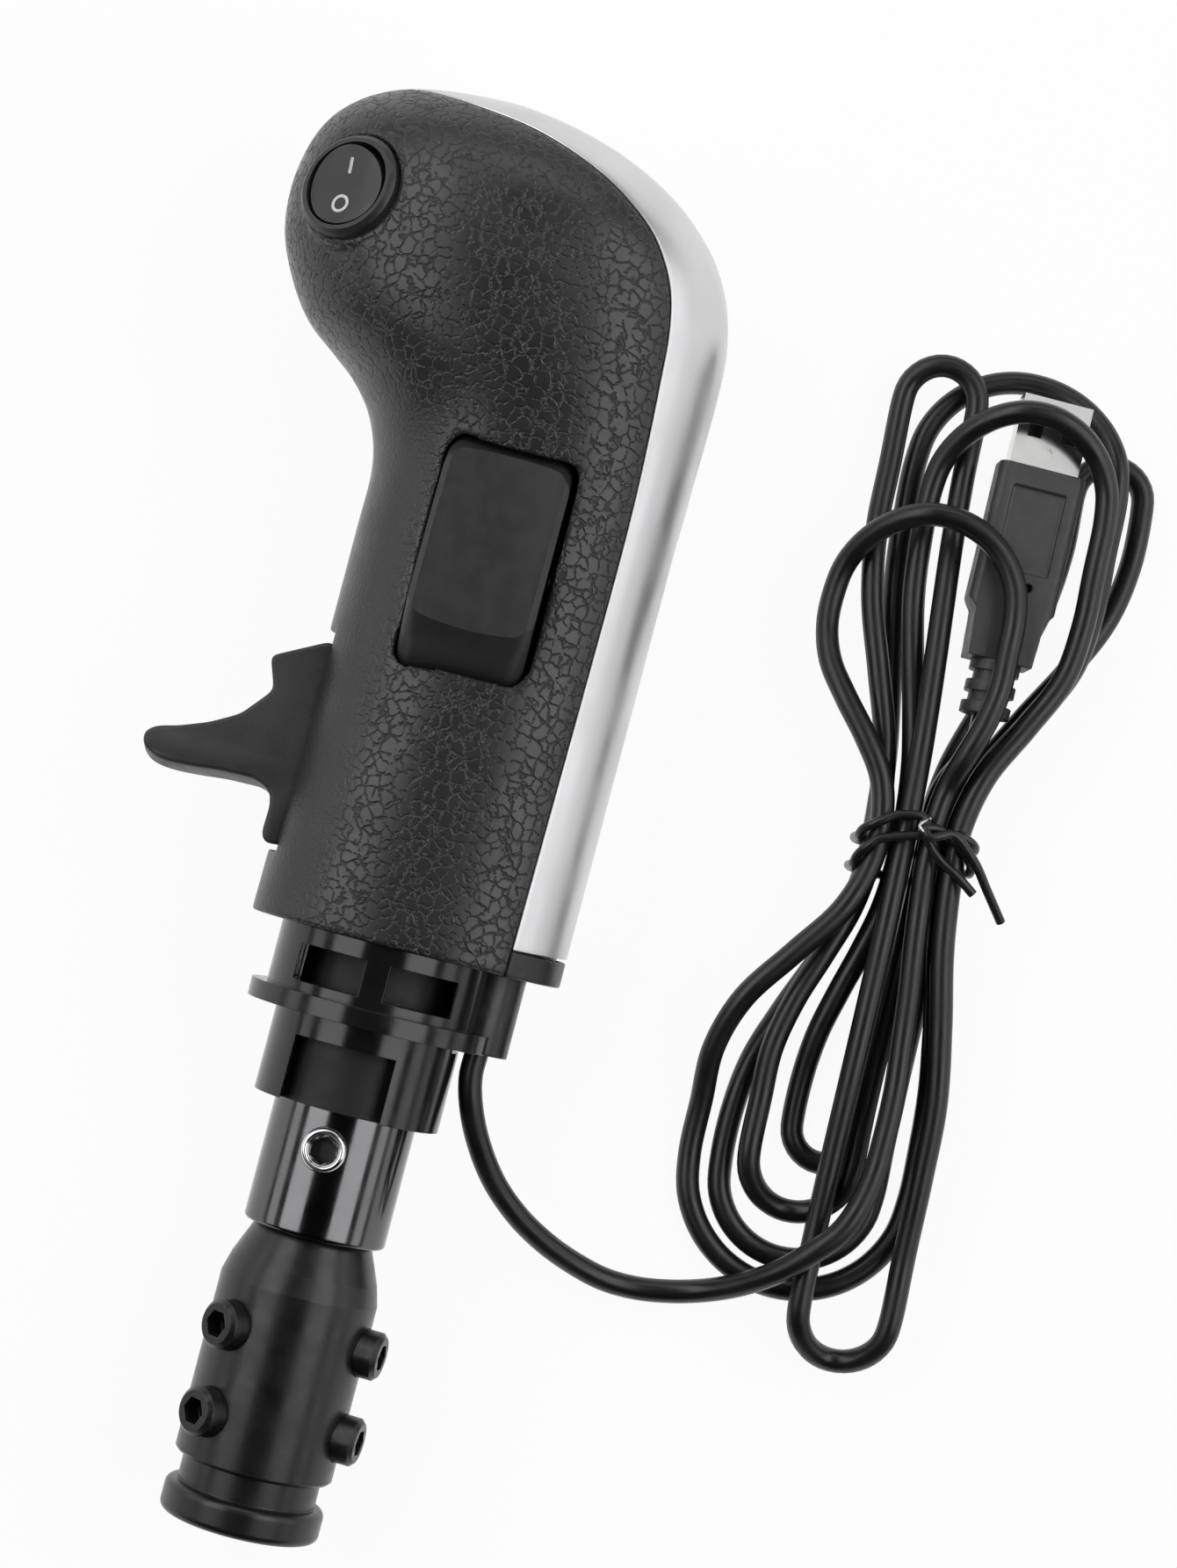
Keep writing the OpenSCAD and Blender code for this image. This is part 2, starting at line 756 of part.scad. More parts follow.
// Bracket in front of the spine with two ears for the lever's pin
module range_bracket() {
    base_t = 2;
    half = lever_ear_y + ear_t;
    color("#3a3b3d")
        laid()
            difference() {
                union() {
                    translate([spine_front - base_t, -half, lever_z - 19]) cube([base_t, 2 * half, 34]);
                    for (side = [-1, 1])
                        translate([-lever_pivot_x, side * (lever_ear_y + ear_t / 2), lever_z]) {
                            y_rod(8, ear_t / 2);
                            translate([0, -ear_t / 2, -4])
                                cube([lever_pivot_x + spine_front - base_t + eps, ear_t, 8]);
                        }
                }
                translate([-lever_pivot_x, 0, lever_z]) y_rod(lever_pin_d, lever_w);
            }
}

module range_pin() {
    color("#b5b7ba") laid() translate([-lever_pivot_x, 0, lever_z]) y_rod(lever_pin_d, lever_ear_y + ear_t);
}

// Side outline of the lever round its pivot: thumb block, finger and tail
module lever_outline() {
    offset(r = 1.1, $fn = 24)
        offset(delta = -1.1)
            offset(r = -2.4, $fn = 24)
                offset(delta = 2.4)
                    polygon([
                        [-9, 19.5], [-17.9, 14.8], [-16, 9.5], [-20.2, 4.4], [-24.8, 1.8], [-29.5, -0.1],
                        [-32.4, -0.9], [-33.8, -1.9], [-34.4, -3.4], [-34.1, -4.9], [-32.6, -6.4],
                        [-30.6, -7], [-28.2, -7.1], [-24.4, -6.8], [-20.7, -6.4], [-14.6, -6.3],
                        [-12.4, -7], [-11.8, -8.6], [-12, -13.8], [-11, -15.1], [-8.4, -14.6], [-3, -3.2],
                        [1.5, -3.6], [3.4, 0], [1.5, 3.6], [-3.6, 5], [-6.2, 18]
                    ]);
}

module range_lever() {
    color("#343435")
        laid()
            translate([-lever_pivot_x, 0, lever_z])
                difference() {
                    union() {
                        rotate([90, 0, 0]) linear_extrude(lever_w, center = true) lever_outline();
                        y_rod(2 * lever_hub_r, lever_w / 2);
                    }
                    y_rod(lever_pin_d + 2 * pin_clear, lever_w);
                    finger_scallops();
                }
}

// Cuts that narrow the finger towards its tip
module finger_scallops() {
    for (side = [-1, 1])
        translate([-38, side * (lever_w / 2 + 26), -20]) cylinder(r = 27.2, h = 34, $fn = 96);
}

module range_switch() {
    laid()
        translate([spine_front - 2 - 6.4, 0, lever_z - 12])
            rotate([0, 0, -90])
                micro_switch();
}

module circuit_board() {
    color("#1f5a3a")
        laid()
            difference() {
                translate([spine_front + 1, board_y, rim_z + 20])
                    cube([spine_back - spine_front - 2, board_t, 60]);
                for (up = [26, 74])
                    translate([2, board_y, rim_z + up]) y_rod(2.6, 5);
            }
}

module controller_chip() {
    color("#141415") laid() translate([0, board_y + board_t, rim_z + 48]) cube([7, 1.4, 7]);
}

module lead_header() {
    color("#d8d4c8") laid() translate([0, board_y + board_t, rim_z + 31]) cube([10, 4, 6]);
}

module board_screws() {
    color("#b9babc")
        laid()
            for (up = [26, 74])
                translate([2, board_y + board_t, rim_z + up])
                    rotate([-90, 0, 0]) {
                        cylinder(d = 4.6, h = 1.6);
                        translate([0, 0, -board_t + eps]) cylinder(d = 2.4, h = board_t);
                    }
}

// Screws under the trim that hold the shell to the spine
module shell_screws() {
    color("#b9babc")
        laid()
            for (up = screw_up)
                translate([0, spine_y + spine_t / 2, rim_z + up])
                    x_rod(2.5, spine_back, handle_back - trim_t - 0.6);
}

// Tube of round sections along points
function unit(v) = v / norm(v);
function tangent(p, i) = unit(p[min(i + 1, len(p) - 1)] - p[max(i - 1, 0)]);
function ring(c, t, r, sides) =
    let (up = abs(t[2]) > 0.9 ? [1, 0, 0] : [0, 0, 1], a = unit(cross(t, up)), b = cross(a, t))
        [for (k = [0:sides - 1]) c + r * (cos(360 * k / sides) * a + sin(360 * k / sides) * b)];

module tube(points, d, sides) {
    last = (len(points) - 1) * sides;
    polyhedron(
        points = [for (i = [0:len(points) - 1]) each ring(points[i], tangent(points, i), d / 2, sides)],
        faces = concat(
            [[for (k = [0:sides - 1]) k]], [[for (k = [0:sides - 1]) last + sides - 1 - k]],
            [for (i = [0:len(points) - 2], k = [0:sides - 1])
                let (a = i * sides + k, b = i * sides + (k + 1) % sides)
                    each [[a, a + sides, b + sides], [a, b + sides, b]]]
        )
    );
}

module inner_lead() {
    color("#1a1a1b") laid() tube(INNER, cable_d - 0.6, 8);
}
INNER = [
    [lead_x, 0, rim_z - seat_clear], [lead_x, 0, rim_z + 4], [18.2, 2.5, rim_z + 8], [17.4, 7, rim_z + 12],
    [14.8, 10.8, rim_z + 16.5], [10.8, 12, rim_z + 21], [7.8, 12, rim_z + 25], [7, 12, rim_z + 28],
    [7, 12, rim_z + 31]
];

// Places on the laid knob and in the hank's frame
function laid_point(p) = [
    p[0] + centre_x,
    p[1] * sin(rest_tilt) + p[2] * cos(rest_tilt) + centre_y,
    -p[1] * cos(rest_tilt) + p[2] * sin(rest_tilt) + rest_lift
];
function hank_point(p) = [
    hank_at[0] + p[1] * cos(hank_turn) - p[0] * sin(hank_turn),
    hank_at[1] + p[1] * sin(hank_turn) + p[0] * cos(hank_turn),
    p[2]
];
function column(i) = (i - 1.5) * strand_pitch;
function layer(i) = first_layer + i * strand_pitch;
function at_waist(u, slot) = [u, column(slot[0]), layer(slot[1])];
function mix(a, b, t) = a + (b - a) * t;
function ease(t) = t * t * (3 - 2 * t);

// Half of a loop between the waist and its arc, t from 0 at the waist to 1 at the arc
function run_point(side, shoulder, slot, offset, height, spread, rise, t) = [
    side * mix(waist_half, shoulder, t),
    mix(column(slot[0]), offset, ease(min(1, spread * t))),
    mix(layer(slot[1]), height, pow(ease(min(1, rise * t)), 2))
];
function arc_height(l, q) = q <= 0.5 ? mix(l[8], l[9], ease(2 * q)) : mix(l[9], l[10], ease(2 * q - 1));
function loop_points(l) =
    let (half = (l[7] - l[6]) / 2, shoulder = l[1] - abs(half), middle = (l[6] + l[7]) / 2)
        concat(
            [for (k = [0:run_rings - 1])
                run_point(l[0], shoulder, [l[2], l[3]], l[6], l[8], l[11], l[13], k / run_rings)],
            [for (k = [0:arc_rings])
                let (f = 180 * k / arc_rings)
                    [
                        l[0] * (shoulder + abs(half) * sin(f)), middle - half * cos(f),
                        arc_height(l, k / arc_rings)
                    ]],
            [for (k = [1:run_rings])
                run_point(l[0], shoulder, [l[4], l[5]], l[7], l[10], l[12], 1, 1 - k / run_rings)]
        );
TAIL_BACK = plug_at - cable_d * [cos(plug_swing), -sin(plug_swing), 0];
TAIL_FROM = at_waist(waist_half, tail_slot);
TAIL = [
    for (k = [0:3])
        let (t = k / 4)
            [
                mix(TAIL_FROM[0], TAIL_BACK[0], t), mix(TAIL_FROM[1], TAIL_BACK[1], pow(ease(t), 2)),
                mix(TAIL_FROM[2], TAIL_BACK[2], pow(ease(t), 2))
            ]
];
TURNS = [for (l = LOOPS) each loop_points(l)];
HANK = [
    for (p = concat([at_waist(0, lead_slot)], TURNS, TAIL, [TAIL_BACK, plug_at]))
        hank_point(p)
];
LEAD = concat(
    [laid_point([lead_x, 0, flange_z]), laid_point([lead_x, 0, flange_z - cable_d])], LEAD_ROUTE,
    [hank_point(at_waist(-cable_d, lead_slot)), hank_point(at_waist(0, lead_slot))]
);

// Least distance between points of a path that lie more than skip steps apart, and a path's length
function finer(p, n) = [for (i = [0:len(p) - 2], k = [0:n - 1]) mix(p[i], p[i + 1], k / n)];
function least_apart(p, skip) =
    min([for (i = [0:len(p) - 1 - skip]) min([for (j = [i + skip:len(p) - 1]) norm(p[i] - p[j])])]);
function path_length(p, i = 1, sum = 0) =
    i == len(p) ? sum : path_length(p, i + 1, sum + norm(p[i] - p[i - 1]));

module cable_lead() {
    color("#1b1b1c") tube(LEAD, cable_d, 8);
}

module cable_hank() {
    echo(str("cable_hank least gap to itself, mm: ", least_apart(finer(HANK, 4), 34) - cable_d));
    echo(str("cable_lead and cable_hank length, mm: ", path_length(LEAD) + path_length(HANK)));
    color("#1b1b1c") tube(HANK, cable_d, 6);
}

// Puts children where the lead meets the plug, +Y along the plug
module at_plug() {
    translate(hank_point(plug_at))
        rotate([0, 0, hank_turn + plug_swing])
            rotate([0, plug_roll, 0])
                children();
}

module plug_strain_relief() {
    rib = relief_l / 5;
    color("#2c2c2d")
        at_plug()
            rotate([-90, 0, 0]) {
                cylinder(d = relief_d - 1.8, h = relief_l);
                for (k = [0, 2, 4]) translate([0, 0, k * rib]) cylinder(d = relief_d, h = rib);
            }
}

// Overmould: narrow shoulders at the lead, wide grip with a sunk panel and two dimples on its face
module plug_body() {
    back = relief_l;
    front = relief_l + plug_l;
    color("#323234")
        at_plug()
            difference() {
                intersection() {
                    linear_extrude(plug_t, center = true)
                        polygon([
                            [-plug_w * 0.37, back], [plug_w * 0.37, back], [plug_w * 0.4, back + 8],
                            [plug_w / 2, back + 9.8], [plug_w / 2, front], [-plug_w / 2, front],
                            [-plug_w / 2, back + 9.8], [-plug_w * 0.4, back + 8]
                        ]);
                    translate([0, front, 0])
                        rotate([90, 0, 0])
                            linear_extrude(plug_l)
                                offset(r = 1.2, $fn = 24)
                                    square([plug_w - 2.4, plug_t - 2.4], center = true);
                }
                translate([-plug_w * 0.31, back + plug_l * 0.46, plug_t / 2 - 0.4])
                    cube([plug_w * 0.62, plug_l * 0.43, 2]);
                for (x = [-1.7, 1.7])
                    translate([x, back + plug_l * 0.39, plug_t / 2 - 0.5]) cylinder(d = 1.4, h = 2);
            }
}

module plug_shell() {
    back = relief_l + plug_l;
    color("#d5d6d8")
        at_plug()
            difference() {
                translate([-usb_w / 2, back, -usb_t / 2]) cube([usb_w, usb_l, usb_t]);
                translate([-usb_w / 2 + usb_wall, back - 1, -usb_t / 2 + usb_wall])
                    cube([usb_w - 2 * usb_wall, usb_l + 2, usb_t - 2 * usb_wall]);
                for (x = [-2.9, 2.9]) translate([x - 1.2, back + 5.2, -usb_t]) cube([2.4, 2.4, 2 * usb_t]);
                translate([0, back + 2.8, usb_t / 2 - 0.2]) cylinder(d = 1.8, h = 1);
            }
}

module plug_tongue() {
    back = relief_l + plug_l;
    color("#e9e9e6")
        at_plug()
            translate([-usb_w / 2 + usb_wall + 0.05, back, -usb_t / 2 + usb_wall])
                cube([usb_w - 2 * usb_wall - 0.1, usb_l - 0.6, 1.8]);
}

// Wire tie: a tail, two turns round the waist and a second tail
tie_r = cable_d / 2 + tie_gap + tie_d / 2;
function tie_turn_point(a) =
    let (
        quarter = floor(a / 90) % 4, right = quarter == 0 || quarter == 3, top = quarter < 2,
        bend = quarter * 90 + (a % 90)
    )
        [
            tie_pitch * (a - 90) / 360 - tie_pitch, column(right ? 3 : 0) + tie_r * cos(bend),
            layer(top ? 2 : 0) + tie_r * sin(bend)
        ];
TIE_IN = [[-10.2, 16.8, 7], [-7.4, 15.4, 10.4], [-5.2, 12.8, 13.4], [-3.4, 9.6, 15.2]];
TIE_TURNS = concat(
    [for (q = [1:7], a = [0.1, 22.5, 45, 67.5, 89.9]) tie_turn_point(q * 90 + a)], [tie_turn_point(720.1)]
);
TIE_OUT = [[1.4, 11, 12.6], [-0.8, 13.4, 11.8], [-3.6, 16.4, 10.2], [-6.6, 18.8, 8.4]];

module twist_tie() {
    color("#161617") tube([for (p = concat(TIE_IN, TIE_TURNS, TIE_OUT)) hank_point(p)], tie_d, 6);
}

grip_shell();
back_trim();
trim_foot();
core_frame();
cable_gland();
clamp_sleeve();
sleeve_screw();
shaft_adapter();
adapter_screws();
power_switch_body();
power_switch_terminals();
power_rocker();
splitter_housing();
splitter_pin();
splitter_rocker();
splitter_switch();
range_bracket();
range_pin();
range_lever();
range_switch();
circuit_board();
controller_chip();
lead_header();
board_screws();
shell_screws();
inner_lead();
cable_lead();
cable_hank();
plug_strain_relief();
plug_body();
plug_shell();
plug_tongue();
twist_tie();
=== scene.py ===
"""Looks of a gear shifter knob with a tied USB lead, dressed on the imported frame.

Sizes are millimetres in the knob's upright frame: axis on +Z, back on +X, thumb side on -Y.
LaidFrame lays that frame on the table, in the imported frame's metres.
"""

import logging
import math
from dataclasses import dataclass
from enum import Enum
from functools import cached_property
from typing import Any, Iterable, Sequence

import bmesh
import bpy
import numpy as np
from mathutils import Matrix, Vector


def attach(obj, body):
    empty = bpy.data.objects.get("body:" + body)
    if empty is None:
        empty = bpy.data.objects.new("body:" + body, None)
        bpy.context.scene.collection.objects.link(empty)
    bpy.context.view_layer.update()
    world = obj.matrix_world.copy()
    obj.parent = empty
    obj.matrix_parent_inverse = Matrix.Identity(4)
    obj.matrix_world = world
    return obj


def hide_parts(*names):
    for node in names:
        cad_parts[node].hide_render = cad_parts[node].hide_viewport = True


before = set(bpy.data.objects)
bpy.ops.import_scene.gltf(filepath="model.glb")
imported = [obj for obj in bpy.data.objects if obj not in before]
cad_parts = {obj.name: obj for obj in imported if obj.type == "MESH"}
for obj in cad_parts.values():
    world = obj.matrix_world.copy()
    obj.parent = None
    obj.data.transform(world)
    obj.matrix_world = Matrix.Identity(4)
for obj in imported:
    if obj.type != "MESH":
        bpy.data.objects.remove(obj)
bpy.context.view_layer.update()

LOG = logging.getLogger("shifter")
MM = 0.001
PAST = 2.0  # How far a cutting solid reaches past what it cuts.
SEAM = 0.002  # Gap over which a mesh is joined.
SHARP = 32.0  # Least angle of a sharp edge in degrees.
SCREW_Z = 63.5
SCREW_TURN = math.radians(-6.0)
Point = Sequence[float]
Span = tuple[float, float]
Colour = tuple[float, float, float]
Piece = bpy.types.Object
Socket = bpy.types.NodeSocket


class Body(Enum):
    """Bodies of the frame that pieces ride on."""

    KNOB = "knob"
    LEVER = "lever"
    POWER = "power"


class Carve(Enum):
    """Ways to join one solid with another."""

    CUT = "DIFFERENCE"
    JOIN = "UNION"
    KEEP = "INTERSECT"


@dataclass(frozen=True)
class LaidFrame:
    """The knob's upright frame, laid so that its flange ring and its head touch the table."""

    flange_r: float = 20.5
    flange_z: float = 84.3
    widest_half: float = 26.1476
    widest_z: float = 207.3
    centre_x: float = 9.0
    centre_y: float = -118.228

    @property
    def tilt(self) -> float:
        """Angle between the knob's axis and the table."""
        return math.atan((self.widest_half - self.flange_r) / (self.widest_z - self.flange_z))

    @property
    def lift(self) -> float:
        """Height of the upright frame's origin over the table."""
        return self.flange_r * math.cos(self.tilt) - self.flange_z * math.sin(self.tilt)

    @property
    def turn(self) -> float:
        """Angle about +X that lays the knob down."""
        return self.tilt - math.pi / 2

    @property
    def origin(self) -> Vector:
        """Upright origin on the table, in millimetres."""
        return Vector((self.centre_x, self.centre_y, self.lift))

    @property
    def matrix(self) -> Matrix:
        """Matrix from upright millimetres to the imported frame's metres."""
        return TABLE @ Matrix.Translation(self.origin) @ Matrix.Rotation(self.turn, 4, "X")


TABLE = Matrix.Scale(MM, 4)
LAID = LaidFrame()


def distances(line: np.ndarray) -> np.ndarray:
    """Distance of each point of a line from its start, along it."""
    return np.concatenate([[0.0], np.cumsum(np.linalg.norm(np.diff(line, axis=0), axis=1))])


def spaced(line: np.ndarray, count: int) -> np.ndarray:
    """Places a number of points evenly along a line.

    Args:
        line: Points of the line.
        count: Number of points to place.

    Returns:
        The points.
    """
    along = distances(line)
    at = np.linspace(0.0, along[-1], count)
    return np.stack([np.interp(at, along, line[:, k]) for k in range(line.shape[1])], axis=1)


def smooth_path(points: Iterable[Point], step: float, fine: int = 24) -> np.ndarray:
    """Runs a smooth curve through points and spaces it evenly.

    Args:
        points: Points that the curve passes.
        step: Distance between the points of the result.
        fine: Points on each span of the curve before it is spaced.

    Returns:
        Points along the curve.
    """
    p = np.asarray([tuple(q) for q in points], float)
    p = np.vstack([2 * p[0] - p[1], p, 2 * p[-1] - p[-2]])
    knots = np.concatenate([[0.0], np.cumsum(np.linalg.norm(np.diff(p, axis=0), axis=1) ** 0.5)])
    runs = []
    for i in range(1, len(p) - 2):
        t = np.linspace(knots[i], knots[i + 1], fine, endpoint=i == len(p) - 3)[:, None]

        def between(a: np.ndarray, b: np.ndarray, ta: float, tb: float) -> np.ndarray:
            """Straight blend of two values over a span of knots."""
            return ((tb - t) * a + (t - ta) * b) / (tb - ta)

        k0, k1, k2, k3 = knots[i - 1:i + 3]
        a1 = between(p[i - 1], p[i], k0, k1)
        a2 = between(p[i], p[i + 1], k1, k2)
        a3 = between(p[i + 1], p[i + 2], k2, k3)
        runs.append(between(between(a1, a2, k0, k2), between(a2, a3, k1, k3), k1, k2))
    line = np.vstack(runs)
    return spaced(line, max(2, round(distances(line)[-1] / step)))


def turns(count: int) -> np.ndarray:
    """Angles evenly round a full turn."""
    return np.linspace(0.0, 2 * math.pi, count, endpoint=False)


def circle(radius: float, count: int, start: float = 0.0) -> list[Span]:
    """Points evenly round a circle, the first one at an angle."""
    return [(radius * math.cos(start + a), radius * math.sin(start + a)) for a in turns(count)]


def squarish(angles: np.ndarray, power: float) -> list[np.ndarray]:
    """Cosines and sines of angles, raised to a power that squares their circle off."""
    return [np.sign(wave) * np.abs(wave) ** power for wave in (np.cos(angles), np.sin(angles))]


def rounded_foot(radius: float, low: float, edge: float, steps: int) -> list[Span]:
    """Points of radius and height round the lower edge of a turned piece.

    Args:
        radius: Radius of the piece.
        low: Height of its lower end.
        edge: Radius of the rounding.
        steps: Number of points.

    Returns:
        The points, from the end to the side.
    """
    bend = np.linspace(0.0, math.pi / 2, steps)
    return [(radius - edge * (1 - math.sin(a)), low + edge * (1 - math.cos(a))) for a in bend]


def turned(degrees: float, axis: str) -> Matrix:
    """Matrix of a turn about an axis."""
    return Matrix.Rotation(math.radians(degrees), 4, axis)


def add_piece(name: str, vertices: Iterable[Point], faces: Sequence[Sequence[int]]) -> Piece:
    """Makes a mesh object and puts it into the scene.

    Args:
        name: Name of the piece.
        vertices: Its points.
        faces: Its faces, as indices of points.

    Returns:
        The object.
    """
    mesh = bpy.data.meshes.new(name)
    mesh.from_pydata([tuple(v) for v in vertices], [], [tuple(f) for f in faces])
    obj = bpy.data.objects.new(name, mesh)
    bpy.context.scene.collection.objects.link(obj)
    return obj


def quads(rows: int, columns: int, closed: tuple[bool, bool]) -> list[tuple[int, ...]]:
    """Faces between the points of a grid.

    Args:
        rows: Number of rows of points.
        columns: Number of points in a row.
        closed: Whether the last row joins the first one, and each row's end its start.

    Returns:
        The faces, as indices of points.
    """
    faces = []
    for i in range(rows if closed[0] else rows - 1):
        row, above = i * columns, (i + 1) % rows * columns
        for k in range(columns if closed[1] else columns - 1):
            beside = (k + 1) % columns
            faces.append((row + k, row + beside, above + beside, above + k))
    return faces


def lofted(name: str, rings: np.ndarray, hollow: bool = False) -> Piece:
    """Makes a closed solid through rings of points, with flat ends or joined back to its first ring.

    Args:
        name: Name of the piece.
        rings: Rings, each with the same number of points, anticlockwise seen from the last.
        hollow: Whether the last ring joins the first, in place of flat ends.

    Returns:
        The solid.
    """
    count, sides = rings.shape[:2]
    faces = quads(count, sides, (hollow, True))
    if not hollow:
        faces += [tuple(reversed(range(sides))), tuple(range((count - 1) * sides, count * sides))]
    return add_piece(name, rings.reshape(-1, 3), faces)


def revolved(name: str, profile: Sequence[Point], sides: int = 96, hollow: bool = False) -> Piece:
    """Makes a solid of revolution about +Z from a profile of radius and height.

    Args:
        name: Name of the piece.
        profile: Points of radius and height, from the lower end to the upper one.
        sides: Number of points on each ring.
        hollow: Whether the profile is closed, in place of flat ends.

    Returns:
        The solid.
    """
    rings = [[(x, y, z) for x, y in circle(r, sides)] for r, z in profile]
    return lofted(name, np.array(rings), hollow)


def pillar(name: str, outline: Sequence[Point], low: float, high: float) -> Piece:
    """Makes a prism along Z from an outline of x and y.

    Args:
        name: Name of the piece.
        outline: Corners of x and y, anticlockwise.
        low: Height of its lower end.
        high: Height of its upper end.

    Returns:
        The solid.
    """
    return lofted(name, np.array([[(x, y, z) for x, y in outline] for z in (low, high)], float))


def prism(name: str, outline: Sequence[Point], half: float) -> Piece:
    """Makes a prism along Y from an outline of x and z.

    Args:
        name: Name of the piece.
        outline: Corners of x and z.
        half: Half of its length along Y.

    Returns:
        The solid.
    """
    rings = np.array([[(x, y, z) for x, z in outline] for y in (half, -half)], float)
    made = lofted(name, rings)
    point_outwards(made)
    return made


def block(name: str, x: Span, z: Span, half: float) -> Piece:
    """Makes a block from its spans of x and z and half of its width."""
    return prism(name, [(x[0], z[0]), (x[1], z[0]), (x[1], z[1]), (x[0], z[1])], half)


def point_outwards(obj: Piece) -> None:
    """Turns all faces of a closed mesh outwards.

    Args:
        obj: The object.
    """
    work = bmesh.new()
    work.from_mesh(obj.data)
    bmesh.ops.recalc_face_normals(work, faces=work.faces)
    work.to_mesh(obj.data)
    work.free()


def settle(obj: Piece) -> None:
    """Applies all modifiers of an object to its mesh.

    Args:
        obj: The object.
    """
    graph = bpy.context.evaluated_depsgraph_get()
    made = bpy.data.meshes.new_from_object(obj.evaluated_get(graph), depsgraph=graph)
    obj.modifiers.clear()
    old = obj.data
    obj.data = made
    bpy.data.meshes.remove(old)


def carve(base: Piece, tool: Piece, how: Carve) -> Piece:
    """Joins a tool solid with a base solid, and removes the tool.

    Args:
        base: Solid that stays.
        tool: Solid that cuts, joins or limits it.
        how: The operation.

    Returns:
        The base.
    """
    made = base.modifiers.new("carve", "BOOLEAN")
    made.operation = how.value
    made.solver = "MANIFOLD"
    made.object = tool
    bpy.context.view_layer.update()
    settle(base)
    mesh = tool.data
    bpy.data.objects.remove(tool)
    bpy.data.meshes.remove(mesh)
    return base


def place(obj: Piece, matrix: Matrix) -> Piece:
    """Moves an object's mesh.

    Args:
        obj: The object.
        matrix: The move.

    Returns:
        The object.
    """
    obj.data.transform(matrix)
    obj.data.update()
    return obj


def even_out(obj: Piece, voxel: float, passes: int) -> None:
    """Gives a solid an even fine mesh and softens its edges.

    Args:
        obj: The solid.
        voxel: Size of the new faces.
        passes: Smoothing passes.
    """
    remesh = obj.modifiers.new("even_mesh", "REMESH")
    remesh.mode = "VOXEL"
    remesh.voxel_size = voxel
    soft = obj.modifiers.new("soft_edges", "SMOOTH")
    soft.factor = 0.5
    soft.iterations = passes
    settle(obj)


def shade_smooth(obj: Piece, angle: float = 35.0) -> None:
    """Shades a mesh smoothly, apart from edges sharper than an angle in degrees."""
    obj.data.polygons.foreach_set("use_smooth", [True] * len(obj.data.polygons))
    obj.data.set_sharp_from_angle(angle=math.radians(angle))


class Tree:
    """A hand on a node tree, which adds nodes and links them in one call each."""

    def __init__(self, tree: bpy.types.NodeTree) -> None:
        """Takes the tree that it works on."""
        self.tree = tree

    def feed(self, socket: Socket, value: Any) -> None:
        """Links an output to a socket, or sets the socket's value.

        Args:
            socket: The input.
            value: An output to link, or a value.
        """
        if isinstance(value, Socket):
            self.tree.links.new(value, socket)
        else:
            socket.default_value = value

    def add(self, kind: str, feeds: dict[str | int, Any] | None = None, **settings: Any) -> bpy.types.Node:
        """Adds a node.

        Args:
            kind: Type of the node, without its ShaderNode prefix.
            feeds: Values or outputs for its inputs.
            settings: Properties of the node.

        Returns:
            The node.
        """
        node = self.tree.nodes.new("ShaderNode" + kind)
        for key, value in settings.items():
            setattr(node, key, value)
        for key, value in (feeds or {}).items():
            self.feed(node.inputs[key], value)
        return node

    def maths(self, operation: str, *values: Any) -> Socket:
        """Adds a Math node and returns its output."""
        return self.add("Math", dict(enumerate(values)), operation=operation).outputs[0]

    def vector_maths(self, operation: str, *values: Any) -> Socket:
        """Adds a Vector Math node and returns its vector."""
        return self.add("VectorMath", dict(enumerate(values)), operation=operation).outputs["Vector"]

    def dot(self, first: Any, second: Any) -> Socket:
        """Adds a dot product of two vectors and returns its value."""
        return self.add("VectorMath", {0: first, 1: second}, operation="DOT_PRODUCT").outputs["Value"]

    def ramp(
        self, value: Any, low: float, high: float, to_low: float = 0.0, to_high: float = 1.0,
    ) -> Socket:
        """Maps a value smoothly from one span to another and returns the output."""
        spans = {"Value": value, "From Min": low, "From Max": high, "To Min": to_low, "To Max": to_high}
        return self.add("MapRange", spans, interpolation_type="SMOOTHSTEP").outputs["Result"]

    def noise(self, vector: Any, scale: Any, detail: float = 2.0) -> Socket:
        """Adds a noise texture and returns its factor."""
        return self.add("TexNoise", {"Vector": vector, "Scale": scale, "Detail": detail}).outputs["Fac"]

    def blend(self, factor: Any, first: Any, second: Any) -> Socket:
        """Mixes two colours by a factor and returns the colour."""
        return self.add("Mix", {0: factor, 6: first, 7: second}, data_type="RGBA").outputs[2]


class Group:
    """A shader node group in the making, with named inputs and outputs."""

    def __init__(self, name: str, inputs: dict[str, str], outputs: dict[str, str]) -> None:
        """Starts the group.

        Args:
            name: Name of the group.
            inputs: Kind of socket by input name.
            outputs: Kind of socket by output name.
        """
        self.data = bpy.data.node_groups.new(name, "ShaderNodeTree")
        for way, sockets in (("INPUT", inputs), ("OUTPUT", outputs)):
            for key, kind in sockets.items():
                self.data.interface.new_socket(key, in_out=way, socket_type="NodeSocket" + kind)
        self.tree = Tree(self.data)
        self.inputs = self.data.nodes.new("NodeGroupInput").outputs
        self.ends = self.data.nodes.new("NodeGroupOutput").inputs

    def give(self, **values: Socket) -> bpy.types.NodeTree:
        """Links the group's outputs.

        Args:
            values: What each output gives, by its name.

        Returns:
            The group's tree.
        """
        for key, value in values.items():
            self.tree.feed(self.ends[key], value)
        return self.data


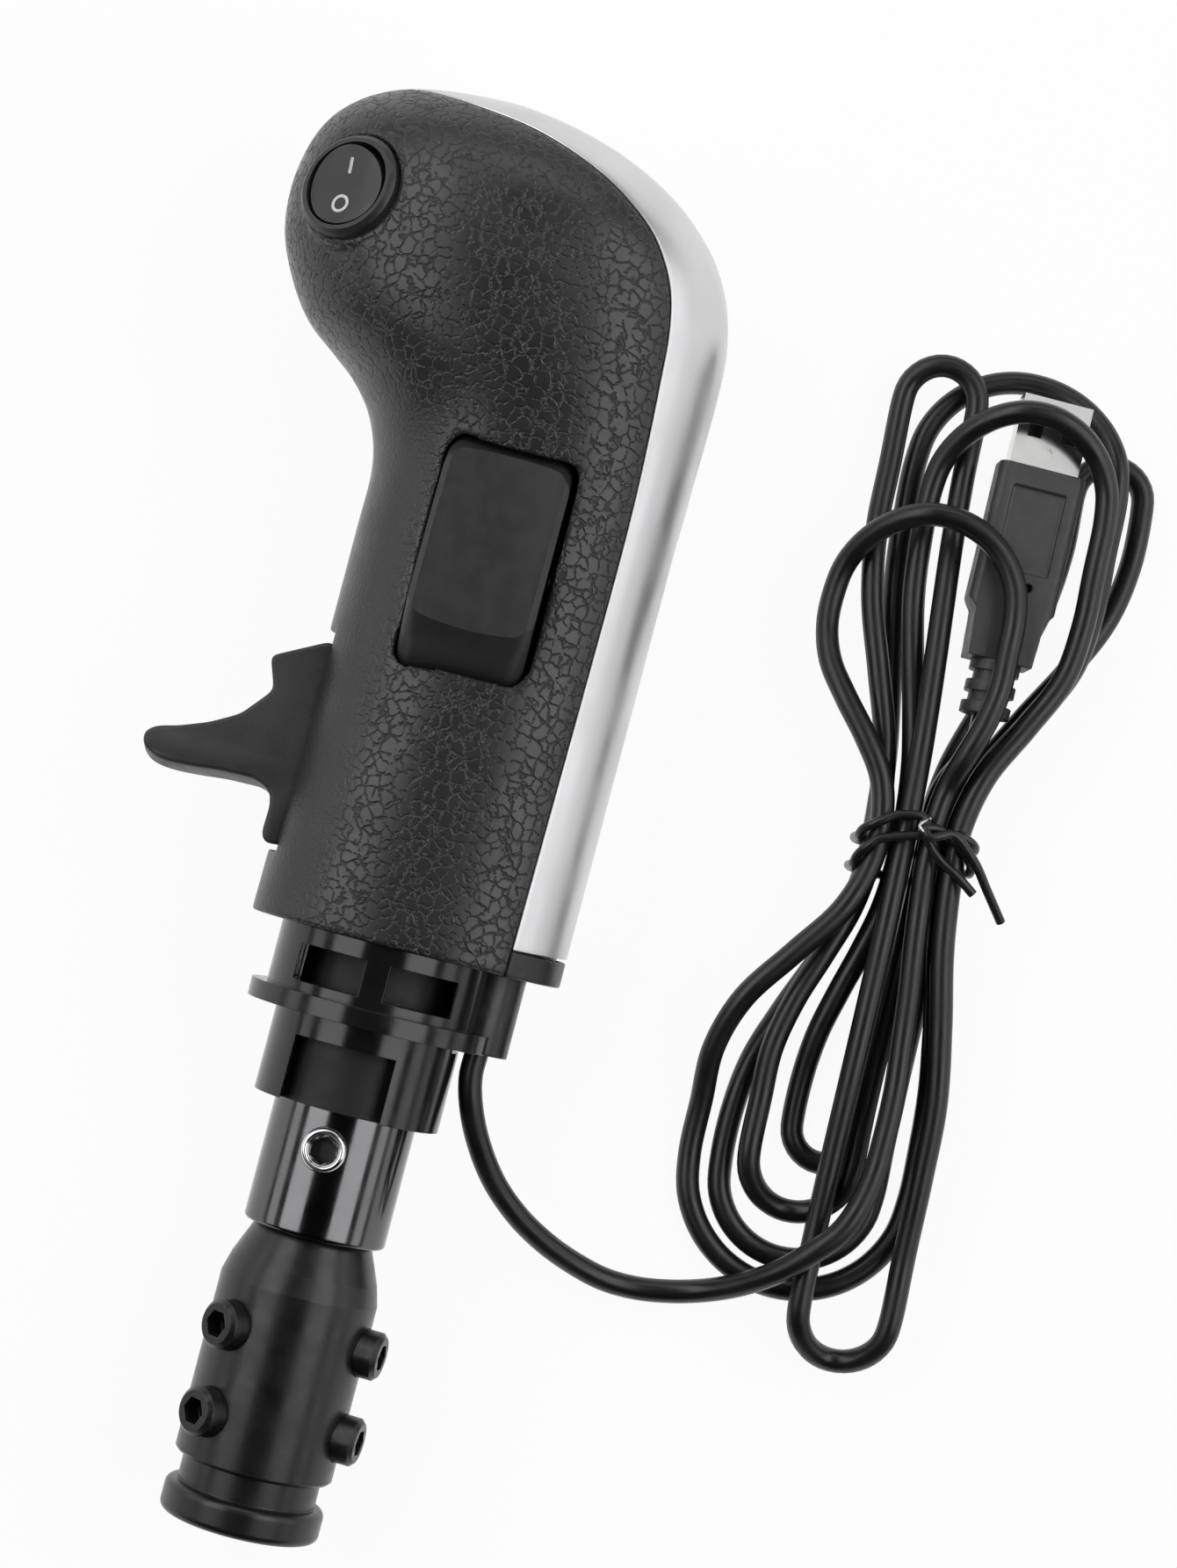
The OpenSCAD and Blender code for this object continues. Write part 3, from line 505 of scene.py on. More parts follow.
@dataclass
class Effects:
    """Surface effects that finishes share, each built once as a node group. Sizes are millimetres.

    A span is the two values between which a texture's value rises from nothing to all.
    """

    tone_span: Span = (0.3, 0.7)
    gloss_span: Span = (0.3, 0.72)
    gloss_shift: Point = (31.0, 17.0, 5.0)
    gloss_scale: float = 2.6
    speckle_span: Span = (0.35, 0.68)
    broad_share: float = 0.07
    wear_and_sheen_reach: float = 0.4
    wear_and_sheen_span: Span = (0.99, 0.9)
    patch_scale: float = 0.45
    patch_span: Span = (0.38, 0.66)
    bend_scale: float = 0.6
    bend_reach: float = 1.3
    jag_scale: float = 1.7
    jag_reach: float = 0.5
    break_scale: float = 0.8
    break_span: Span = (0.56, 0.7)
    break_most: float = 0.12
    crease_span: Span = (0.055, 0.0165)
    plump_span: Span = (0.0, 0.13)
    tooth_scale: float = 1.9
    tooth_shares: Span = (1.0, 0.14)

    @cached_property
    def upright(self) -> bpy.types.NodeTree:
        """Place on the knob in upright millimetres."""
        g = Group("upright_place", {}, {"Place": "Vector"})
        spot = g.tree.add("TexCoord").outputs["Object"]
        table = g.tree.vector_maths("MULTIPLY", spot, (1 / MM,) * 3)
        moved = g.tree.vector_maths("SUBTRACT", table, tuple(LAID.origin))
        laid = g.tree.add("VectorRotate", {"Vector": moved, "Angle": -LAID.turn}, rotation_type="X_AXIS")
        return g.give(Place=laid.outputs["Vector"])

    @cached_property
    def tone(self) -> bpy.types.NodeTree:
        """Slow cloudy change of tone and of gloss over a surface."""
        g = Group("surface_tone", {"Place": "Vector", "Size": "Float"}, {"Tone": "Float", "Gloss": "Float"})
        scale = g.tree.maths("DIVIDE", 1.0, g.inputs["Size"])
        clouds = g.tree.noise(g.inputs["Place"], scale, 3.0)
        shifted = g.tree.vector_maths("ADD", g.inputs["Place"], self.gloss_shift)
        smears = g.tree.noise(shifted, g.tree.maths("MULTIPLY", scale, self.gloss_scale), 4.0)
        return g.give(Tone=g.tree.ramp(clouds, *self.tone_span), Gloss=g.tree.ramp(smears, *self.gloss_span))

    @cached_property
    def speckle(self) -> bpy.types.NodeTree:
        """Fine spark-eroded texture of a mould."""
        g = Group("mould_speckle", {"Place": "Vector", "Size": "Float"}, {"Height": "Float"})
        grain = g.tree.noise(g.inputs["Place"], g.tree.maths("DIVIDE", 1.0, g.inputs["Size"]))
        return g.give(Height=g.tree.ramp(grain, *self.speckle_span))

    @cached_property
    def lines(self) -> bpy.types.NodeTree:
        """Fine lines across a direction, as turning or drawing leaves them."""
        inputs = {"Place": "Vector", "Across": "Vector", "Pitch": "Float"}
        g = Group("drawn_lines", inputs, {"Height": "Float", "Tone": "Float"})
        at = g.tree.maths("DIVIDE", g.tree.dot(g.inputs["Place"], g.inputs["Across"]), g.inputs["Pitch"])
        broad_at = g.tree.maths("MULTIPLY", at, self.broad_share)
        feeds = ({"W": at, "Scale": 1.0, "Detail": 3.0}, {"W": broad_at, "Scale": 1.0, "Detail": 2.0})
        fine, broad = (g.tree.add("TexNoise", feed, noise_dimensions="1D").outputs["Fac"] for feed in feeds)
        return g.give(Height=fine, Tone=g.tree.ramp(broad, *self.tone_span))

    @cached_property
    def wear_and_sheen(self) -> bpy.types.NodeTree:
        """Edges lightened in patches: partly wear, partly a painted highlight along the edges."""
        g = Group("edge_wear_and_sheen", {"Place": "Vector"}, {"Mask": "Float"})
        bent = g.tree.add("Bevel", {"Radius": self.wear_and_sheen_reach * MM}, samples=4).outputs["Normal"]
        true = g.tree.add("NewGeometry").outputs["Normal"]
        edge = g.tree.ramp(g.tree.dot(bent, true), *self.wear_and_sheen_span)
        patches = g.tree.ramp(g.tree.noise(g.inputs["Place"], self.patch_scale, 4.0), *self.patch_span)
        return g.give(Mask=g.tree.maths("MULTIPLY", edge, patches))

    @cached_property
    def grain(self) -> bpy.types.NodeTree:
        """Crackled leather grain: flat cells with thin broken creases, over a fine tooth."""
        inputs = {"Place": "Vector", "Cell": "Float", "Amount": "Float"}
        g = Group("crackle_grain", inputs, {"Height": "Float", "Crease": "Float"})
        t, at, amount = g.tree, g.inputs["Place"], g.inputs["Amount"]
        warped = at
        for scale, reach in ((self.bend_scale, self.bend_reach), (self.jag_scale, self.jag_reach)):
            wave = t.add("TexNoise", {"Vector": at, "Scale": scale, "Detail": 1.0}).outputs["Color"]
            shift = t.vector_maths("MULTIPLY", t.vector_maths("SUBTRACT", wave, (0.5,) * 3), (reach,) * 3)
            warped = t.vector_maths("ADD", warped, shift)
        cells = {"Vector": warped, "Scale": t.maths("DIVIDE", 1.0, g.inputs["Cell"]), "Randomness": 1.0}
        to_edge = t.add("TexVoronoi", cells, feature="DISTANCE_TO_EDGE").outputs["Distance"]
        breaks = t.ramp(t.noise(at, self.break_scale, 1.0), *self.break_span, 0.0, self.break_most)
        gap = t.maths("ADD", to_edge, breaks)
        crease, plump = (
            t.maths("MULTIPLY", t.ramp(gap, *span), amount) for span in (self.crease_span, self.plump_span)
        )
        share = t.ramp(amount, 0.0, 1.0, *self.tooth_shares)
        tooth = t.maths("MULTIPLY", t.noise(at, self.tooth_scale), share)
        return g.give(Height=t.maths("ADD", plump, tooth), Crease=crease)


EFFECTS = Effects()


def tinted(colour: Colour, share: float) -> tuple[float, float, float, float]:
    """Colour made lighter or darker by a share, with full alpha."""
    return (*(min(1.0, c * share) for c in colour), 1.0)


@dataclass(frozen=True)
class Finish:
    """Moulded finish: a colour with cloudy tone, uneven gloss and a fine tooth. Sizes are millimetres."""

    name: str
    colour: Colour
    roughness: float
    metallic: float = 0.0
    specular: float = 0.5
    tone: float = 0.14
    tone_size: float = 9.0
    gloss: float = 0.06
    tooth: float = 0.012
    tooth_size: float = 0.3
    # Share of the lighter edges: partly wear, partly a painted highlight.
    wear_and_sheen: float = 0.0
    wear_and_sheen_colour: Colour = (0.2, 0.2, 0.2)
    edge: float = 0.0

    def material(self) -> bpy.types.Material:
        """Builds the finish once.

        Returns:
            Its material.
        """
        made = bpy.data.materials.get(self.name)
        if made is None:
            made = bpy.data.materials.new(self.name)
            made.use_nodes = True
            made.node_tree.nodes.clear()
            self.shade(Tree(made.node_tree))
        return made

    def group(self, tree: Tree, effect: bpy.types.NodeTree, **feeds: Any) -> bpy.types.Node:
        """Places a shared effect in a material.

        Args:
            tree: The material's tree.
            effect: The effect.
            feeds: Values or outputs for its inputs.

        Returns:
            The effect's node.
        """
        node = tree.add("Group", node_tree=effect)
        for key, value in feeds.items():
            tree.feed(node.inputs[key], value)
        return node

    def shade(self, tree: Tree) -> None:
        """Fills the material's tree.

        Args:
            tree: The material's tree.
        """
        place_at = self.group(tree, EFFECTS.upright).outputs["Place"]
        shader = self.shader(tree)
        cloud = self.group(tree, EFFECTS.tone, Place=place_at, Size=self.tone_size).outputs
        pale, deep = tinted(self.colour, 1 + self.tone), tinted(self.colour, 1 - self.tone)
        colour = tree.blend(cloud["Tone"], deep, pale)
        rough = tree.ramp(cloud["Gloss"], 0.0, 1.0, self.roughness - self.gloss, self.roughness + self.gloss)
        colour, rough, height = self.detail(tree, place_at, colour, rough)
        # Lighter edges in patches: partly wear, partly a painted highlight.
        if self.wear_and_sheen:
            mask = self.group(tree, EFFECTS.wear_and_sheen, Place=place_at).outputs["Mask"]
            wear_and_sheen_share = tree.maths("MULTIPLY", mask, self.wear_and_sheen)
            colour = tree.blend(wear_and_sheen_share, colour, (*self.wear_and_sheen_colour, 1.0))
        tree.feed(shader.inputs["Base Color"], colour)
        tree.feed(shader.inputs["Roughness"], rough)
        bump = tree.add("Bump", {"Strength": 1.0, "Distance": self.tooth * MM, "Height": height})
        if self.edge:
            soft = tree.add("Bevel", {"Radius": self.edge * MM}, samples=6)
            tree.feed(bump.inputs["Normal"], soft.outputs["Normal"])
        tree.feed(shader.inputs["Normal"], bump.outputs["Normal"])

    def shader(self, tree: Tree) -> bpy.types.Node:
        """Adds the material's output, and the shader with the finish's constants.

        Args:
            tree: The material's tree.

        Returns:
            The shader.
        """
        constants = {"Metallic": self.metallic, "Specular IOR Level": self.specular}
        shader = tree.add("BsdfPrincipled", constants)
        tree.add("OutputMaterial", {"Surface": shader.outputs[0]})
        return shader

    def speckle(self, tree: Tree, at: Any) -> Socket:
        """Height of the finish's fine tooth."""
        return self.group(tree, EFFECTS.speckle, Place=at, Size=self.tooth_size).outputs["Height"]

    def detail(self, tree: Tree, at: Any, colour: Any, rough: Any) -> tuple[Any, Any, Any]:
        """Adds the finish's own marks.

        Args:
            tree: The material's tree.
            at: Place on the surface in millimetres.
            colour: Colour so far.
            rough: Roughness so far.

        Returns:
            Colour, roughness and height.
        """
        return colour, rough, self.speckle(tree, at)


@dataclass(frozen=True)
class GrainFinish(Finish):
    """Crackled leather grain with painted shade in its creases; it fades out towards the handle's front."""

    cell: float = 2.0
    # Share and tint of the painted shade in the creases.
    crease_shade: float = 0.8
    crease_shade_tint: float = 0.3
    crease_rough: float = 0.3
    front_fade: Span = (-16.0, -8.0)
    front_least: float = 0.06
    head_z: Span = (176.0, 194.0)
    head_most: float = 0.9

    def detail(self, tree: Tree, at: Any, colour: Any, rough: Any) -> tuple[Any, Any, Any]:
        """Adds creases with painted shade, cells and tooth.

        Args:
            tree: The material's tree.
            at: Place on the surface in millimetres.
            colour: Colour so far.
            rough: Roughness so far.

        Returns:
            Colour, roughness and height.
        """
        xyz = tree.add("SeparateXYZ", {0: at}).outputs
        head = tree.maths("MULTIPLY", tree.ramp(xyz["Z"], *self.head_z), self.head_most)
        handle = tree.ramp(xyz["X"], *self.front_fade, self.front_least, 1.0)
        amount = tree.maths("MAXIMUM", handle, head)
        grain = self.group(tree, EFFECTS.grain, Place=at, Cell=self.cell, Amount=amount).outputs
        # Painted shade in the creases.
        dark = tree.maths("MULTIPLY", grain["Crease"], self.crease_shade)
        colour = tree.blend(dark, colour, tinted(self.colour, self.crease_shade_tint))
        rough = tree.maths("ADD", rough, tree.maths("MULTIPLY", grain["Crease"], self.crease_rough))
        return colour, rough, grain["Height"]


@dataclass(frozen=True)
class LinedFinish(Finish):
    """Turned, drawn or brushed finish with fine lines across a direction."""

    across: tuple[float, float, float] = (0.0, 0.0, 1.0)
    pitch: float = 0.25
    line_tone: float = 0.1

    def detail(self, tree: Tree, at: Any, colour: Any, rough: Any) -> tuple[Any, Any, Any]:
        """Adds the lines.

        Args:
            tree: The material's tree.
            at: Place on the surface in millimetres.
            colour: Colour so far.
            rough: Roughness so far.

        Returns:
            Colour, roughness and height.
        """
        lines = self.group(tree, EFFECTS.lines, Place=at, Across=self.across, Pitch=self.pitch).outputs
        streak = tree.maths("MULTIPLY", lines["Tone"], self.line_tone)
        rough = tree.maths("ADD", rough, streak)
        return colour, rough, lines["Height"]


@dataclass(frozen=True)
class BoardFinish(Finish):
    """Solder mask with copper tracks under it and tinned pads."""

    track: float = 1.6
    track_span: Span = (0.3, 0.36)
    track_tint: float = 1.8
    track_share: float = 0.5
    pad_span: Span = (0.16, 0.12)
    pad_colour: Colour = (0.55, 0.55, 0.53)

    def detail(self, tree: Tree, at: Any, colour: Any, rough: Any) -> tuple[Any, Any, Any]:
        """Adds tracks and pads.

        Args:
            tree: The material's tree.
            at: Place on the surface in millimetres.
            colour: Colour so far.
            rough: Roughness so far.

        Returns:
            Colour, roughness and height.
        """
        cells = {"Vector": at, "Scale": 1 / self.track, "Randomness": 0.35}
        off = tree.add("TexVoronoi", cells, distance="CHEBYCHEV").outputs["Distance"]
        track = tree.ramp(off, *self.track_span)
        covered = tree.maths("MULTIPLY", track, self.track_share)
        colour = tree.blend(covered, colour, tinted(self.colour, self.track_tint))
        colour = tree.blend(tree.ramp(off, *self.pad_span), colour, (*self.pad_colour, 1.0))
        return colour, rough, track


@dataclass(frozen=True)
class RecessShadeFinish(Finish):
    """Glossy finish whose recesses, closer to an axis than a radius, are duller, with painted shade."""

    floor: Span = (14.2, 13.2)
    centre: Point = (0.0, 0.0, 0.0)
    axis: Point = (0.0, 0.0, 1.0)
    # Share of the colour left in the painted shade of the recesses.
    shade_share: float = 0.3
    depth_rough: float = 0.4

    def reach(self, tree: Tree, off: Any) -> Socket:
        """Distance of a place, measured from the centre, to the axis."""
        across = tree.vector_maths("CROSS_PRODUCT", off, self.axis)
        return tree.add("VectorMath", {0: across}, operation="LENGTH").outputs["Value"]

    def detail(self, tree: Tree, at: Any, colour: Any, rough: Any) -> tuple[Any, Any, Any]:
        """Paints shade into the recesses and dulls them.

        Args:
            tree: The material's tree.
            at: Place on the surface in millimetres.
            colour: Colour so far.
            rough: Roughness so far.

        Returns:
            Colour, roughness and height.
        """
        off = tree.vector_maths("SUBTRACT", at, self.centre)
        deep = tree.ramp(self.reach(tree, off), *self.floor)
        # Painted shade in the recesses.
        colour = tree.blend(deep, colour, tinted(self.colour, self.shade_share))
        rough = tree.maths("ADD", rough, tree.maths("MULTIPLY", deep, self.depth_rough))
        return colour, rough, self.speckle(tree, at)


@dataclass(frozen=True)
class SocketShadeFinish(RecessShadeFinish):
    """Bright screw finish whose socket, below its mouth along an axis, is duller, with painted shade."""

    def reach(self, tree: Tree, off: Any) -> Socket:
        """Height of a place, measured from the centre, along the axis."""
        return tree.dot(off, self.axis)


SHELL = GrainFinish(
    "grip_grain", (0.023, 0.023, 0.0235), 0.31, tone=0.12, tone_size=16.0, gloss=0.04, tooth=0.105,
)
SATIN = Finish(
    "satin_button", (0.022, 0.022, 0.0225), 0.42, specular=0.42, tone=0.06, tooth=0.006, tooth_size=0.22,
    wear_and_sheen=0.2, wear_and_sheen_colour=(0.13, 0.13, 0.13),
)
LEVER_SATIN = Finish(
    "satin_lever", (0.026, 0.026, 0.0265), 0.44, specular=0.42, tone=0.08, tooth=0.008, wear_and_sheen=0.2,
    wear_and_sheen_colour=(0.12, 0.12, 0.12),
)
SWITCH = Finish(
    "switch_plastic", (0.02, 0.02, 0.0205), 0.36, tone=0.08, tooth=0.004, tooth_size=0.25, wear_and_sheen=0.2,
)
PRINT = Finish("mark_print", (0.62, 0.62, 0.61), 0.55, tone=0.1, tone_size=1.2, tooth=0.01)
# Painted shade on the floors of the collar's windows and notch, and in the bore.
CORE = RecessShadeFinish(
    "core_plastic", (0.007, 0.007, 0.0073), 0.18, gloss=0.03, tone=0.15, tooth=0.001, tooth_size=1.4,
    edge=0.2,
)
GLAND = Finish("gland_rubber", (0.009, 0.009, 0.0095), 0.32, tooth=0.006, tooth_size=0.8, wear_and_sheen=0.2, edge=0.6)
FOOT = Finish("trim_foot_plastic", (0.009, 0.009, 0.0095), 0.36, tooth=0.008, tooth_size=0.5, wear_and_sheen=0.25)
TRIM = LinedFinish(
    "trim_silver", (0.68, 0.68, 0.69), 0.35, metallic=1.0, tone=0.04, tone_size=22.0, gloss=0.04,
    tooth=0.002, across=(0.0, 1.0, 0.25), pitch=0.8, line_tone=0.04,
)
SLEEVE = LinedFinish(
    "sleeve_gunmetal", (0.115, 0.116, 0.119), 0.12, metallic=1.0, tone=0.03, gloss=0.01, tooth=0.0004,
    pitch=0.3, line_tone=0.03,
)
# Painted shade in the screw's socket and round its foot, below its mouth.
CHROME = SocketShadeFinish(
    "screw_chrome", (0.74, 0.74, 0.75), 0.16, metallic=1.0, tone=0.08, tone_size=2.0, tooth=0.0008,
    tooth_size=1.2, floor=(12.42, 12.3), centre=(0.0, 0.0, SCREW_Z),
    axis=(math.sin(SCREW_TURN), -math.cos(SCREW_TURN), 0.0), shade_share=0.09,
)
ANODISED = LinedFinish(
    "adapter_anodised", (0.006, 0.006, 0.0063), 0.29, tone=0.1, gloss=0.03, tooth=0.001, pitch=0.3,
    line_tone=0.05, edge=0.3,
)
BLACK_OXIDE = LinedFinish(
    "grub_black_oxide", (0.007, 0.007, 0.007), 0.32, tone=0.2, tone_size=2.5, tooth=0.003, pitch=0.4,
    wear_and_sheen=0.3, wear_and_sheen_colour=(0.1, 0.1, 0.1), edge=0.25,
)
JACKET = Finish(
    "lead_jacket", (0.007, 0.007, 0.0072), 0.36, tone=0.15, tone_size=14.0, gloss=0.05, tooth=0.006,
    tooth_size=1.6,
)
TIE = Finish("tie_wire", (0.008, 0.008, 0.008), 0.36, tone=0.25, tone_size=3.0, tooth=0.01, tooth_size=0.9)
OVERMOULD = Finish(
    "plug_overmould", (0.045, 0.045, 0.046), 0.5, tone=0.1, tone_size=5.0, tooth=0.008, tooth_size=0.35,
)
NICKEL = LinedFinish(
    "plug_nickel", (0.72, 0.72, 0.71), 0.2, metallic=1.0, tone=0.03, tone_size=6.0, gloss=0.02,
    tooth=0.0002, across=(1.0, 0.1, 0.0), pitch=0.4, line_tone=0.02,
)
TONGUE = Finish("tongue_plastic", (0.02, 0.02, 0.02), 0.5, tone=0.05, tooth=0.01)
STEEL = LinedFinish(
    "pin_steel", (0.5, 0.5, 0.51), 0.26, metallic=1.0, tone=0.12, tone_size=3.0, tooth=0.004,
    across=(1.0, 0.0, 0.2),
)
BRASS = LinedFinish(
    "terminal_brass", (0.6, 0.45, 0.2), 0.3, metallic=1.0, tone=0.16, tone_size=2.0, tooth=0.004,
    across=(0.0, 1.0, 0.3),
)
BRACKET = Finish("bracket_plastic", (0.045, 0.046, 0.048), 0.5, tooth=0.015, tooth_size=0.5)
SWITCH_BLOCK = Finish("switch_block_plastic", (0.014, 0.014, 0.0145), 0.4, tooth=0.01, tooth_size=0.4)
BOARD = BoardFinish("board_mask", (0.012, 0.1, 0.045), 0.3, tone=0.1, tooth=0.02)
CHIP = Finish("chip_epoxy", (0.01, 0.01, 0.0105), 0.55, tone=0.2, tone_size=2.0, tooth=0.02, tooth_size=0.2)
HEADER = Finish("header_nylon", (0.66, 0.63, 0.55), 0.45, tone=0.06, tooth=0.01)


def dress(obj: Piece, finish: Finish) -> Piece:
    """Gives an object one finish.

    Args:
        obj: The object.
        finish: Its finish.

    Returns:
        The object.
    """
    obj.data.materials.clear()
    obj.data.materials.append(finish.material())
    return obj


def ease_edges(obj: Piece, width: float) -> None:
    """Rounds the sharp edges of a mesh, which is first joined along its seams.

    Args:
        obj: The piece.
        width: Width of the rounding in millimetres.
    """
    weld = obj.modifiers.new("join_seams", "WELD")
    weld.merge_threshold = SEAM * MM
    soft = obj.modifiers.new("ease_edges", "BEVEL")
    soft.width = width * MM
    soft.segments = 3
    soft.limit_method = "ANGLE"
    soft.angle_limit = math.radians(SHARP)
    soft.harden_normals = True
    soft.use_clamp_overlap = True


def dress_node(name: str, finish: Finish, soft: float = 0.0) -> Piece:
    """Dresses a frame node where it is.

    Args:
        name: The node.
        finish: Its finish.
        soft: Width of its rounded edges in millimetres, or 0.

    Returns:
        The node's object.
    """
    node = dress(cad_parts[name], finish)
    if soft:
        ease_edges(node, soft)
    LOG.info("dressed %s with %s", name, finish.name)
    return node


def stand_for(obj: Piece, body: Body, slot: str, *nodes: str) -> Piece:
    """Rides a piece on a body and lets it stand for frame nodes.

    Args:
        obj: The piece.
        body: Body that it rides on.
        slot: Not used.
        nodes: Nodes that it replaces.

    Returns:
        The piece.
    """
    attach(obj, body.value)
    if nodes:
        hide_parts(*nodes)
    LOG.info("built %s on %s", obj.name, body.value)
    return obj


@dataclass(frozen=True)
class Softbox:
    """A soft lamp that looks at the object. Places and sizes are metres, power is watts."""

    name: str
    at: Point
    size: Span
    power: float
    target: Point = (0.03, 0.25, 0.02)

    def build(self) -> None:
        """Puts the lamp into the scene."""
        data = bpy.data.lights.new(self.name, "AREA")
        data.shape = "RECTANGLE"
        data.size, data.size_y = self.size
        data.energy = self.power
        lamp = bpy.data.objects.new(self.name, data)
        lamp.location = self.at
        lamp.rotation_mode = "QUATERNION"
        lamp.rotation_quaternion = (Vector(self.target) - Vector(self.at)).to_track_quat("-Z", "Y")
        bpy.context.scene.collection.objects.link(lamp)


@dataclass
class Studio:
    """Camera, soft lamps, pale world and white floor. Places are metres."""

    camera_at: Point = (0.03405, -0.030347, 0.560887)
    looks_along: Point = (0.0, 0.080702, -0.996738)
    image_up: Point = (-0.252069, 0.964553, 0.078096)
    lens: float = 50.097
    sensor: float = 24.0
    floor_half: float = 12.0
    floor_white: float = 0.94
    paper: float = 0.86
    zenith: float = 0.02
    horizon: float = 0.35
    sky_span: Span = (0.1, 0.82)
    far_span: Span = (-0.6, 0.1)
    far_share: float = 0.15
    lamps: tuple[Softbox, ...] = (
        Softbox("left_softbox", (-0.6, 0.25, 0.78), (1.2, 0.58), 5.4),
        Softbox("right_softbox", (0.66, 0.25, 0.78), (1.2, 0.58), 5.4),
        Softbox("low_left_softbox", (-1.05, 0.25, 0.32), (1.3, 0.3), 1.6),
        Softbox("low_right_softbox", (1.1, 0.25, 0.32), (1.3, 0.3), 1.6),
        Softbox("head_softbox", (-0.1, 1.1, 0.75), (1.2, 0.5), 2.6, (0.03, 0.0, 0.02)),
        Softbox("top_softbox", (0.21, 0.275, 0.915), (0.24, 0.24), 0.17, (0.095, 0.08, 0.01)),
    )

    def build_camera(self) -> None:
        """Makes the camera of the photograph's view."""
        data = bpy.data.cameras.new("camera")
        data.sensor_fit = "AUTO"
        data.sensor_width = self.sensor
        data.lens = self.lens
        data.clip_start = 0.01
        ahead = Vector(self.looks_along).normalized()
        up = Vector(self.image_up).normalized()
        turn = Matrix((ahead.cross(up), up, -ahead)).transposed()
        camera = bpy.data.objects.new("camera", data)
        camera.matrix_world = Matrix.Translation(self.camera_at) @ turn.to_4x4()
        bpy.context.scene.collection.objects.link(camera)
        bpy.context.scene.camera = camera

    def build_floor(self) -> None:
        """Makes the white floor, which still shows the object's shadow."""
        h = self.floor_half
        floor = add_piece("floor", [(-h, -h, 0), (h, -h, 0), (h, h, 0), (-h, h, 0)], [(0, 1, 2, 3)])
        made = bpy.data.materials.new("floor_white")
        made.use_nodes = True
        made.node_tree.nodes.clear()
        tree = Tree(made.node_tree)
        path = tree.add("LightPath").outputs
        seen = tree.maths("MAXIMUM", path["Is Camera Ray"], path["Is Glossy Ray"])
        seen = tree.maths("MAXIMUM", seen, path["Is Transmission Ray"])
        paper = tree.add("BsdfDiffuse", {"Color": (*(self.paper,) * 3, 1.0)}).outputs[0]
        white = tree.add("Emission", {"Color": (1.0, 1.0, 1.0, 1.0), "Strength": 1.0}).outputs[0]
        share = tree.maths("MULTIPLY", seen, self.floor_white)
        both = tree.add("MixShader", {0: share, 1: paper, 2: white}).outputs[0]
        tree.add("OutputMaterial", {"Surface": both})
        floor.data.materials.append(made)

    def build_world(self) -> None:
        """Makes a pale world, lighter at the horizon than overhead and darker beyond the adapter."""
        world = bpy.data.worlds.new("studio")
        world.use_nodes = True
        tree = Tree(world.node_tree)
        world.node_tree.nodes.clear()
        way = tree.add("SeparateXYZ", {0: tree.add("TexCoord").outputs["Generated"]}).outputs
        level = tree.ramp(way["Z"], *self.sky_span, self.horizon, self.zenith)
        level = tree.maths("MULTIPLY", level, tree.ramp(way["Y"], *self.far_span, self.far_share, 1.0))
        sky = tree.add("Background", {"Color": level, "Strength": 1.0}).outputs[0]
        tree.add("OutputWorld", {"Surface": sky})
        bpy.context.scene.world = world

    def build(self) -> None:
        """Makes the whole studio."""
        self.build_camera()
        self.build_floor()
        self.build_world()
        for lamp in self.lamps:
            lamp.build()
        bpy.context.scene.view_settings.view_transform = "Standard"


@dataclass(frozen=True)
class Loop:
    """One loop of the hank: its reach, its strands at the waist, its shoulders and its heights."""

    side: int
    reach: float
    slot_in: tuple[int, int]
    slot_out: tuple[int, int]
    offsets: Span
    heights: tuple[float, float, float]
    spread: Span
    rise: float = 1.0


def ease(t: float) -> float:
    """Smooth step of a share from 0 to 1."""
    t = min(1.0, t)
    return t * t * (3 - 2 * t)


def mix(a: float, b: float, t: float) -> float:
    """Straight blend from a to b."""
    return a + (b - a) * t


